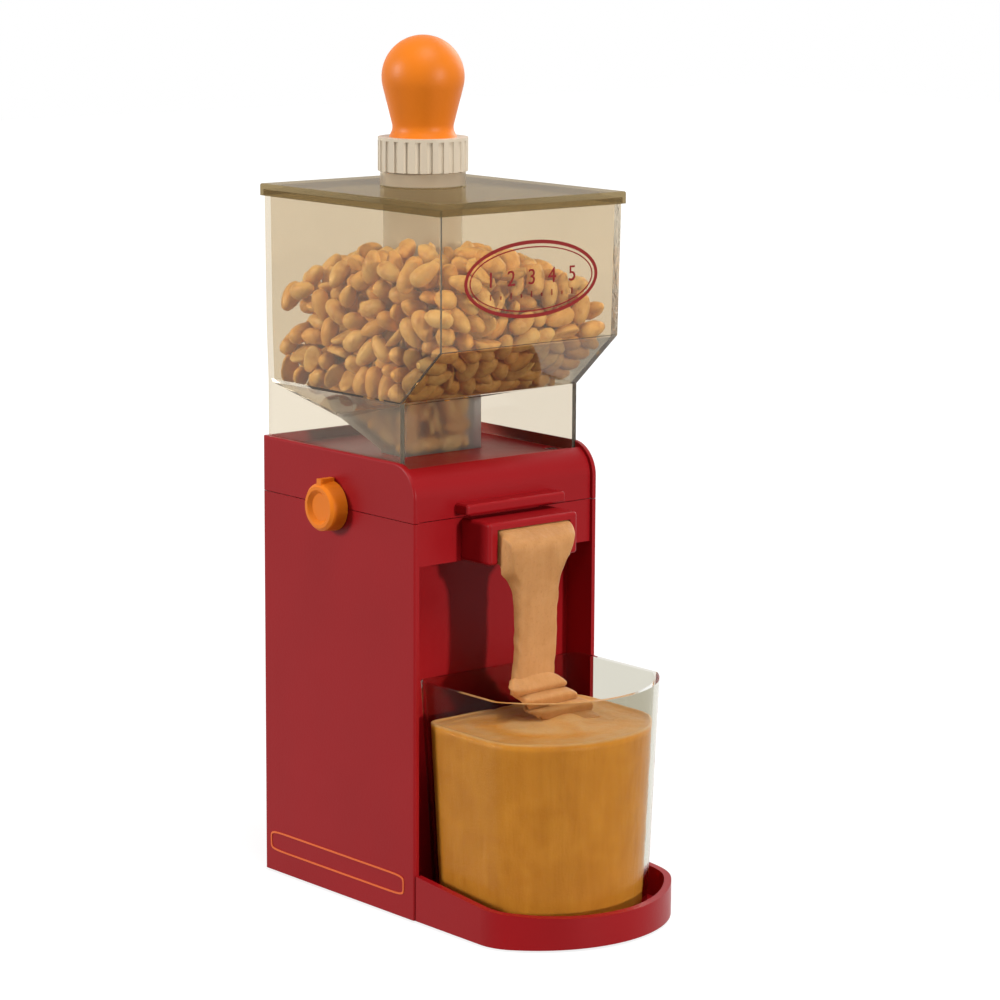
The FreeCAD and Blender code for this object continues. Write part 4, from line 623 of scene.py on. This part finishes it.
def settle_kernels(count, reach, half_gap, crown, seed, rounds=170):
    """Places and directions of kernels that fill the hopper. Each is two balls a fixed way apart. Balls that
    overlap are pushed apart, all sink a little each round, and walls, tube and heap keep them in."""
    sink, shove_share, lid_share, look_every, look_slack = 0.18, 0.42, 0.35, 6, 3
    rng = np.random.default_rng(seed)
    # Kernels start anywhere in the hopper's box, and one in sixteen of them in its neck.
    middle = np.column_stack((rng.uniform(-38, 38, count), rng.uniform(-4, 92, count),
                              rng.uniform(205, crown, count)))
    in_neck = count // 16
    middle[:in_neck] = np.column_stack((rng.uniform(-12, 12, in_neck), rng.uniform(48, 70, in_neck),
                                        rng.uniform(188, 203, in_neck)))
    turn = rng.normal(size=(count, 3))
    turn /= np.linalg.norm(turn, axis=1)[:, None]
    balls = np.concatenate((middle - half_gap * turn, middle + half_gap * turn))
    partner = np.concatenate((np.arange(count) + count, np.arange(count)))
    for number in range(rounds):
        if number % look_every == 0:
            apart = ((balls[:, None] - balls[None]) ** 2).sum(-1)
            near = np.triu(apart < (2 * reach + look_slack) ** 2, 1)
            near[np.arange(count), np.arange(count) + count] = False
            first, second = np.nonzero(near)
        balls[:, 2] -= sink * (1 - number / rounds)
        away = balls[second] - balls[first]
        gap = np.maximum(np.linalg.norm(away, axis=1), 1e-6)
        shove = shove_share * np.maximum(2 * reach - gap, 0)[:, None] * away / gap[:, None]
        np.add.at(balls, second, 0.5 * shove)
        np.add.at(balls, first, -0.5 * shove)
        away = balls[partner] - balls
        gap = np.linalg.norm(away, axis=1)[:, None]
        balls += 0.5 * (gap - 2 * half_gap) * away / gap
        over = np.maximum(balls[:, 2] - heap_top(balls, crown) + reach, 0)
        balls[:, 2] -= lid_share * over
        out = balls[:, :2] - TUBE_AXIS
        apart = np.linalg.norm(out, axis=1)
        short = np.maximum(TUBE_REACH + reach - apart, 0) * (balls[:, 2] > TUBE_END - 1)
        balls[:, :2] += (short / apart)[:, None] * out
        low = balls[:, 2] < MOUTH_FRONT[1] + MOUTH_SLOPE * (balls[:, 1] - MOUTH_FRONT[0]) + 0.4 * reach
        low &= np.abs(balls[:, 0]) < NECK_HALF
        for part, walls in ((low, NECK_WALLS), (~low, BOX_WALLS)):
            group = balls[part]
            push_inside(group, walls, reach)
            balls[part] = group
    middle = (balls[:count] + balls[count:]) / 2
    turn = balls[count:] - balls[:count]
    return middle, turn / np.linalg.norm(turn, axis=1)[:, None]


def kernel_points(rows, columns, halved):
    """A kernel one long and one wide: an egg whose radius is sin(a)^0.8, drawn to a point at one end, with a
    faint groove round its length. A halved one is cut flat along the groove."""
    along = np.linspace(0, math.pi, rows)[:, None]
    around = np.linspace(0, 2 * math.pi, columns, endpoint=False)[None]
    radius = 0.5 * np.sin(along) ** 0.8 * (1 + 0.16 * np.cos(along)) * (1 - 0.05 * np.cos(2 * around) ** 8)
    x = np.broadcast_to(-0.5 * np.cos(along) * (1 + 0.06 * (along > 2.4)), radius.shape)
    y, z = radius * np.cos(around), 0.94 * radius * np.sin(around)
    if halved:
        z = np.maximum(z, -0.04)
    return np.stack((x, y, z), -1)


class GRINDER_OT_nuts(bpy.types.Operator):
    """Fills the hopper and its neck with roasted kernels"""
    bl_idname = "grinder.nuts"
    bl_label = "Nuts"

    def execute(self, context):
        settings = context.scene.grinder_food
        settle_seed, look_seed, halved_share = 7, 11, 0.3
        count, long, wide = settings.kernels, settings.kernel_length / MM, settings.kernel_width / MM
        reach = wide / 2
        middle, forward = settle_kernels(count, reach, long / 2 - reach, settings.heap_height / MM,
                                         settle_seed)
        rng = np.random.default_rng(look_seed)
        side = np.cross(forward, rng.normal(size=(count, 3)))
        side /= np.linalg.norm(side, axis=1)[:, None]
        axes = np.stack((forward, side, np.cross(forward, side)), 1)
        grow = rng.uniform(0.9, 1.06, count)[:, None] * np.array((long, wide, wide))
        rows, columns = 7, 8
        whole, half = (kernel_points(rows + 2, columns, halved)[1:-1].reshape(-1, 3)
                       for halved in (False, True))
        tips = kernel_points(rows + 2, columns, False)[[0, -1], 0]
        split = rng.random(count) < halved_share
        shapes = np.where(split[:, None, None], half[None], whole[None])
        shapes = np.concatenate((shapes, np.broadcast_to(tips, (count, 2, 3))), 1)
        places = np.einsum("nvk,nk,nkj->nvj", shapes, grow, axes) + middle[:, None]
        start = np.arange(count)[:, None, None] * shapes.shape[1]
        quads = (ring_faces(rows, columns)[None] + start).reshape(-1, 4)
        fans = (end_fans(rows, columns)[None] + start).reshape(-1, 3)
        nuts = new_piece("nuts", place(places), quads.tolist() + fans.tolist(), self.material(settings.nuts))
        tone = nuts.data.attributes.new("tone", "FLOAT", "POINT")
        tone.data.foreach_set("value", np.repeat(rng.random(count), shapes.shape[1]).astype(np.float32))
        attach(nuts, "hopper")
        return {"FINISHED"}

    def material(self, colour):
        """Skins from light to pale by each kernel's own tone, toasted in patches, wrinkled and pitted."""
        material, tree, shader = new_material("Roasted kernels")
        tone = add_node(tree, "ShaderNodeAttribute", attribute_name="tone").outputs["Fac"]
        spot = object_spot(tree)
        skin, fine = noise(tree, spot, 240.0, 5.0), noise(tree, spot, 1100.0, 3.0)
        base = mix_colour(tree, tone, rgba(colour), rgba(toned(colour, 1.05, 1.3, 1.9)))
        toasted = above(tree, skin, 0.46, 2.6)
        wrinkles = bump(tree, skin, 0.5, 0.0012)
        fill(tree, shader, {
            "Base Color": mix_colour(tree, toasted, base, rgba(toned(colour, 0.62, 0.45, 0.32))),
            "Roughness": math_node(tree, "ADD", math_node(tree, "MULTIPLY", fine, 0.25), 0.33),
            "Normal": bump(tree, fine, 0.3, 0.0003, wrinkles), "Specular IOR Level": 0.25,
            "Subsurface Weight": 0.12, "Subsurface Radius": (0.004, 0.0018, 0.0007)})
        return material


# ---------------------------------------------------------------- butter

CUP_FLOOR, CUP_RIM, BOW_CENTRE = 6.8, 101.0, -18.5


def cup_reach(turn, height):
    """How far the cup's inside is from the middle of its bow, in a direction and at a height: the least of
    its side, its back and its bow, joined by power means that round the corners, the back ones more."""
    lean = 4 * (height - CUP_FLOOR) / (CUP_RIM - CUP_FLOOR)
    side, back, bow = 38 + lean, 18.5 + lean, 45 + lean
    across, along = np.abs(np.cos(turn)), np.maximum(np.sin(turn), 0)
    square, soft = 26, 10
    box = ((across / side) ** soft + (along / back) ** soft) ** (1 / soft)
    return (box ** square + (1 / bow) ** square) ** (-1 / square)


def butter_material(name, colour, gloss, skin_height=None):
    """Ground nuts: cloudy colour with darker flecks, drawn streaks and fine grit. Above the skin's height the
    colour is paler, in cloudy patches."""
    material, tree, shader = new_material(name)
    spot = object_spot(tree)
    cloud = noise(tree, spot, 75.0, 5.0, 0.8)
    streak = noise(tree, stretched(tree, spot, (260.0, 260.0, 40.0)), 1.0, 4.0)
    grit = noise(tree, spot, 900.0, 3.0)
    drawn = math_node(tree, "MULTIPLY", math_node(tree, "SUBTRACT", streak, 0.7), 0.8)
    mottle = math_node(tree, "ADD", math_node(tree, "MULTIPLY", cloud, 1.3), drawn, clamp=True)
    tint = mix_colour(tree, mottle, rgba(toned(colour, 0.74, 0.66, 0.55)), rgba(colour))
    if skin_height:
        height = add_node(tree, "ShaderNodeSeparateXYZ", {"Vector": spot}).outputs["Z"]
        paler_top = math_node(tree, "MULTIPLY", above(tree, height, skin_height, 1200.0), cloud)
        tint = mix_colour(tree, paler_top, tint, rgba(toned(colour, 0.77, 1.26, 5.0)))
    fleck = above(tree, grit, 0.56, 1.6)
    lumps = bump(tree, streak, 0.4, 0.0014)
    fill(tree, shader, {
        "Base Color": mix_colour(tree, fleck, tint, rgba(toned(colour, 0.55, 0.42, 0.3))),
        "Roughness": math_node(tree, "ADD", math_node(tree, "MULTIPLY", streak, 0.2), gloss),
        "Normal": bump(tree, grit, 0.3, 0.0004, lumps), "Specular IOR Level": 0.12,
        "Subsurface Weight": 0.15, "Subsurface Radius": (0.005, 0.0024, 0.001)})
    return material


class GRINDER_OT_butter_in_cup(bpy.types.Operator):
    """Fills the cup with butter up to its level"""
    bl_idname = "grinder.butter_in_cup"
    bl_label = "Butter in the cup"

    def execute(self, context):
        settings = context.scene.grinder_food
        level, foot, gap = settings.butter_level / MM, CUP_FLOOR + 0.15, 0.12
        # The profile runs from the middle of the floor out, up the wall and back in over the top.
        floor = np.linspace(0.02, 1, 10)
        rise = np.linspace(0, 1, 26)[1:]
        top = 1 - np.linspace(0, 0.995, 60)[1:]
        share = np.concatenate((floor, np.ones(rise.size), top))
        height = np.concatenate((np.full(floor.size, foot), foot + (level - foot) * rise,
                                 np.full(top.size, level)))
        turn = np.linspace(0, 2 * math.pi, 168, endpoint=False)
        share, height, turn = np.broadcast_arrays(share[:, None], height[:, None], turn[None])
        reach = share * (cup_reach(turn, height) - gap)
        x, y = reach * np.cos(turn), BOW_CENTRE + reach * np.sin(turn)
        on_top = (np.arange(share.shape[0]) >= floor.size + rise.size - 1)[:, None]
        # Slow swirls follow the wall, low rings and a crown spread from where the butter lands, and the
        # butter creeps up the wall.
        land_x, land_y = 5, -27
        away = np.hypot(x - land_x, y - land_y)
        swirl = 1.4 * np.sin(9.5 * share + 1.6 * np.sin(turn + 0.6)) * share * (1 - share)
        rings = 0.55 * np.sin(away / 2.6 + 0.7 * np.sin(3 * turn)) * np.exp(-away / 20)
        crown = 2.2 * np.exp(-(away / 17) ** 2)
        creep = 0.54 * smooth_step((share - 0.93) / 0.07)
        z = height + on_top * (swirl + rings + crown + creep)
        points, faces = capped(np.stack((x, y, z), -1))
        butter = new_piece("butter_in_cup", place(points), faces, butter_material(
            "Butter in the cup", settings.butter, 0.3, settings.butter_level - 0.0006))
        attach(butter, "cup")
        return {"FINISHED"}


def smooth_run(values, along, fine):
    """Hermite cubic through values at places along a run, with slopes from their neighbours."""
    slope = np.gradient(values, along)
    index = np.clip(np.searchsorted(along, fine) - 1, 0, len(along) - 2)
    step = along[index + 1] - along[index]
    t = (fine - along[index]) / step
    return ((2 * t**3 - 3 * t**2 + 1) * values[index] + (t**3 - 2 * t**2 + t) * step * slope[index]
            + (3 * t**2 - 2 * t**3) * values[index + 1] + (t**3 - t**2) * step * slope[index + 1])


def strand(stations, wander, seed, columns=48):
    """A strand of butter carried from station to station, with the stations joined by smooth cubics. A
    station gives the middle's x, the outer face's y and z, the inner face's y and z, the width, and how
    square the section is. The section is a superellipse across those two faces, and waves of the given
    share run along its edges."""
    stations = np.asarray(stations, float)
    steps = np.linalg.norm(np.diff((stations[:, 1:3] + stations[:, 3:5]) / 2, axis=0), axis=1)
    along = np.concatenate(([0], np.cumsum(np.maximum(steps, 0.5))))
    fine = np.linspace(0, along[-1], 7 * len(stations))
    x, outer_y, outer_z, inner_y, inner_z, width, power = (
        smooth_run(stations[:, k], along, fine)[:, None] for k in range(7))
    turn = np.linspace(0, 2 * math.pi, columns, endpoint=False)[None]
    cos, sin = np.cos(turn), np.sin(turn)
    across = np.sign(cos) * np.abs(cos) ** (2 / power) * width / 2
    share = 0.5 + 0.5 * np.sign(sin) * np.abs(sin) ** (2 / power)
    start = np.random.default_rng(seed).uniform(0, 2 * math.pi, 5)
    run = fine[:, None]
    waves = sum(np.sin((0.13 + 0.23 * k) * run + (k + 1) * turn + start[k]) / (k + 1) ** 0.8
                for k in range(5))
    across = across * (1 + wander * waves)
    share = 0.5 + (share - 0.5) * (1 + wander * waves)
    y, z = inner_y + (outer_y - inner_y) * share, inner_z + (outer_z - inner_z) * share
    return np.stack((x + across, y, z), -1)


def folded(crests, thick):
    """Stations of a ribbon that lies in folds, from each fold's x, y, z, width and squareness, with half of
    its thickness on each side of the run."""
    crests = np.asarray(crests, float)
    ahead = np.gradient(crests[:, 1:3], axis=0)
    ahead /= np.linalg.norm(ahead, axis=1)[:, None]
    half = 0.5 * np.asarray(thick)[:, None] * np.stack((ahead[:, 1], -ahead[:, 0]), -1)
    return np.concatenate((crests[:, :1], crests[:, 1:3] + half, crests[:, 1:3] - half, crests[:, 3:]), 1)


class GRINDER_OT_butter_stream(bpy.types.Operator):
    """Lets a ribbon of butter fall from the spout into the cup"""
    bl_idname = "grinder.butter_stream"
    bl_label = "Butter stream"

    def execute(self, context):
        butter = butter_material("Falling butter", context.scene.grinder_food.stream, 0.4)
        # The block that fills the mouth leans out, drops and narrows to a ribbon.
        stations = (
            (0.0, -8.0, 163.4, -8.0, 149.3, 38.6, 16), (0.0, -13.0, 163.4, -13.0, 149.2, 38.6, 16),
            (0.0, -17.2, 163.3, -17.2, 149.0, 38.6, 16), (-0.9, -21.2, 161.6, -17.6, 148.4, 37.0, 16),
            (-1.8, -24.7, 159.9, -17.9, 147.6, 34.8, 15), (-2.5, -26.1, 157.6, -18.1, 146.6, 33.2, 14),
            (-3.1, -26.3, 153.6, -18.3, 145.2, 31.2, 12), (-3.4, -25.9, 149.2, -18.5, 143.4, 28.2, 10),
            (-3.2, -25.2, 144.8, -18.6, 141.0, 24.6, 8), (-2.6, -24.5, 139.6, -18.5, 137.2, 22.0, 6),
            (-2.3, -23.8, 132.4, -18.3, 131.2, 20.8, 6), (-2.4, -23.4, 124.0, -18.3, 123.4, 20.4, 6),
            (-2.5, -23.2, 115.0, -18.2, 114.6, 20.2, 6), (-3.0, -23.1, 107.0, -18.1, 106.8, 20.4, 6),
            (-3.5, -23.0, 100.0, -18.0, 100.0, 20.6, 5), (-3.6, -23.0, 95.0, -18.0, 95.0, 20.6, 5))
        points, faces = capped(strand(stations, 0.02, 3))
        stream = new_piece("butter_stream", place(points), faces, butter)
        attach(stream, "casing")
        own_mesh(stream)
        # The ribbon's end lies in folds, each a little lower and further to the front right.
        crests = (
            (-3.6, -20.2, 101.5, 21.5, 3), (-3.2, -21.6, 99.6, 24.5, 3), (-2.6, -23.2, 98.0, 26.0, 3),
            (-1.8, -21.6, 96.4, 25.0, 3), (-0.8, -20.2, 95.0, 24.5, 3), (0.4, -22.6, 93.6, 26.0, 3),
            (1.6, -25.6, 92.2, 27.5, 3), (2.8, -23.8, 90.8, 26.5, 3), (4.0, -21.8, 89.6, 25.5, 3),
            (5.2, -25.0, 88.2, 27.0, 3), (6.6, -29.0, 86.8, 28.0, 3), (7.8, -27.2, 85.6, 26.5, 3),
            (9.0, -25.6, 84.8, 25.0, 3), (10.4, -30.0, 83.8, 24.0, 3), (11.8, -35.0, 82.8, 21.0, 3))
        thick = (5.2, 5.6, 5.8, 5.4, 5.2, 5.6, 6.0, 5.6, 5.2, 5.6, 5.6, 5.2, 4.6, 4.0, 3.2)
        points, faces = capped(strand(folded(crests, thick), 0.11, 5))
        folds = new_piece("butter_folds", place(points), faces, butter)
        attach(folds, "cup")
        return {"FINISHED"}


# ---------------------------------------------------------------- marks

def flat_band(outer, inner, lift):
    """A closed thin band between two outlines of equal corners: four rings round it, joined in a circle."""
    rings = np.stack((inner, outer, outer + lift, inner + lift))
    rows, columns = rings.shape[:2]
    return rings.reshape(-1, 3), ring_faces(rows + 1, columns) % (rows * columns)


def joined(bands):
    """Corners and faces of several bands in one mesh."""
    starts = np.cumsum([0] + [len(points) for points, faces in bands])
    faces = np.concatenate([faces + start for (points, faces), start in zip(bands, starts)])
    return np.concatenate([points for points, faces in bands]), faces.tolist()


def face_outwards(piece):
    """Turns the faces of a closed shape outwards."""
    shape = bmesh.new()
    shape.from_mesh(piece.data)
    bmesh.ops.recalc_face_normals(shape, faces=shape.faces)
    shape.to_mesh(piece.data)
    shape.free()


def hopper_front(x, z):
    """Place on the outside of the hopper's front wall, which leans out by 0.8 mm in 56.8 mm."""
    return np.stack((x, -13.9 - 0.8 * (z - 238.0) / 56.8, z), -1)


def plate_outline(turn, cut):
    """Outline on the casing's left side, drawn in by a cut: a superellipse with a power for each way."""
    cos, sin = np.cos(turn), np.sin(turn)
    return np.stack((np.full(turn.size, -49.0),
                     53.0 + (46.2 - cut) * np.sign(cos) * np.abs(cos) ** 0.12,
                     14.4 + (4.4 - cut) * np.sign(sin) * np.abs(sin) ** 0.35), -1)


class GRINDER_OT_marks(bpy.types.Operator):
    """Prints the fill mark on the hopper and frames the plate on the casing's side"""
    bl_idname = "grinder.marks"
    bl_label = "Marks"

    def execute(self, context):
        finish = context.scene.grinder_finish
        red = plastic("Printed mark", finish.mark, toned(finish.mark, 0.8), roughness=0.4)
        turn = np.linspace(0, 2 * math.pi, 96, endpoint=False)
        mark = self.fill_mark(turn, red)
        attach(mark, "hopper")
        for number in range(1, 6):
            figure = self.figure(str(number), 10.8 * (number - 3), red)
            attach(figure, "hopper")
        orange = plastic("Side frame paint", finish.frame, toned(finish.frame, 0.8), roughness=0.35)
        corners, quads = flat_band(plate_outline(turn, 0), plate_outline(turn, 0.75), (-0.25, 0, 0))
        frame_piece = new_piece("side_frame", place(corners), quads.tolist(), orange, smooth=False)
        face_outwards(frame_piece)
        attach(frame_piece, "casing")
        return {"FINISHED"}

    def fill_mark(self, turn, material):
        """Two ovals, one in the other, and a row of ticks in which every other one is tall."""
        middle, tick_foot, lift = 264.7, 257.4, (0, -0.2, 0)
        bands = []
        for wide, high, line in ((35.3, 15.8, 1.5), (32.6, 13.2, 0.5)):
            outer, inner = (hopper_front((wide - cut) * np.cos(turn), middle + (high - cut) * np.sin(turn))
                            for cut in (0, line))
            bands.append(flat_band(outer, inner, lift))
        for tick in range(9):
            x, tall = 5.4 * (tick - 4), 2.4 if tick % 2 == 0 else 1.4
            corners = np.array(((-0.3, 0), (0.3, 0), (0.3, tall), (-0.3, tall)))
            outer = hopper_front(x + corners[:, 0], tick_foot + corners[:, 1])
            inner = hopper_front(x + 0.4 * corners[:, 0], tick_foot + 0.2 + 0.85 * corners[:, 1])
            bands.append(flat_band(outer, inner, lift))
        points, faces = joined(bands)
        mark = new_piece("fill_mark", place(points), faces, material, smooth=False)
        face_outwards(mark)
        return mark

    def figure(self, text, x, material):
        """A printed number as a thin mesh that stands on the hopper's front."""
        foot, height, half_thick = 262.6, 9.0, 0.1
        curve = bpy.data.curves.new("figure", "FONT")
        curve.body, curve.size, curve.extrude = text, height * MM, half_thick * MM
        curve.align_x = "CENTER"
        lettering = add_object("figure", curve)
        mesh = bpy.data.meshes.new_from_object(
            lettering.evaluated_get(bpy.context.evaluated_depsgraph_get()))
        bpy.data.objects.remove(lettering)
        corners = np.empty(3 * len(mesh.vertices))
        mesh.vertices.foreach_get("co", corners)
        flat = corners.reshape(-1, 3) / MM
        points = hopper_front(x + flat[:, 0], foot + flat[:, 1])
        points[:, 1] -= half_thick + flat[:, 2]
        mesh.vertices.foreach_set("co", place(points).ravel())
        mesh.materials.clear()
        mesh.materials.append(material)
        piece = add_object(f"figure_{text}", mesh)
        face_outwards(piece)
        return piece


# ---------------------------------------------------------------- panel and main

OPERATORS = (GRINDER_OT_stage, GRINDER_OT_casing, GRINDER_OT_clear_ware, GRINDER_OT_knobs, GRINDER_OT_works,
             GRINDER_OT_nuts, GRINDER_OT_butter_in_cup, GRINDER_OT_butter_stream, GRINDER_OT_marks)


class GRINDER_PT_panel(bpy.types.Panel):
    """Lists the grinder's pieces and its settings"""
    bl_idname = "GRINDER_PT_panel"
    bl_label = "Nut butter grinder"
    bl_space_type = "VIEW_3D"
    bl_region_type = "UI"
    bl_category = "Grinder"

    def draw(self, context):
        layout = self.layout
        for operator in OPERATORS:
            layout.operator(operator.bl_idname)
        scene = context.scene
        for settings in (scene.grinder_finish, scene.grinder_food, scene.grinder_stage):
            box = layout.box()
            for name in settings.__annotations__:
                box.prop(settings, name)


CLASSES = (GrinderFinish, FoodSettings, StageSettings, *OPERATORS, GRINDER_PT_panel)


def register():
    for item in CLASSES:
        bpy.utils.register_class(item)
    bpy.types.Scene.grinder_finish = bpy.props.PointerProperty(type=GrinderFinish)
    bpy.types.Scene.grinder_food = bpy.props.PointerProperty(type=FoodSettings)
    bpy.types.Scene.grinder_stage = bpy.props.PointerProperty(type=StageSettings)


def unregister():
    del bpy.types.Scene.grinder_finish, bpy.types.Scene.grinder_food, bpy.types.Scene.grinder_stage
    for item in reversed(CLASSES):
        bpy.utils.unregister_class(item)


def main():
    """Makes every piece."""
    register()
    build_moulded_skin()
    build_drawn_metal()
    for operator in OPERATORS:
        group, name = operator.bl_idname.split(".")
        getattr(getattr(bpy.ops, group), name)()


if __name__ == "__main__":
    main()
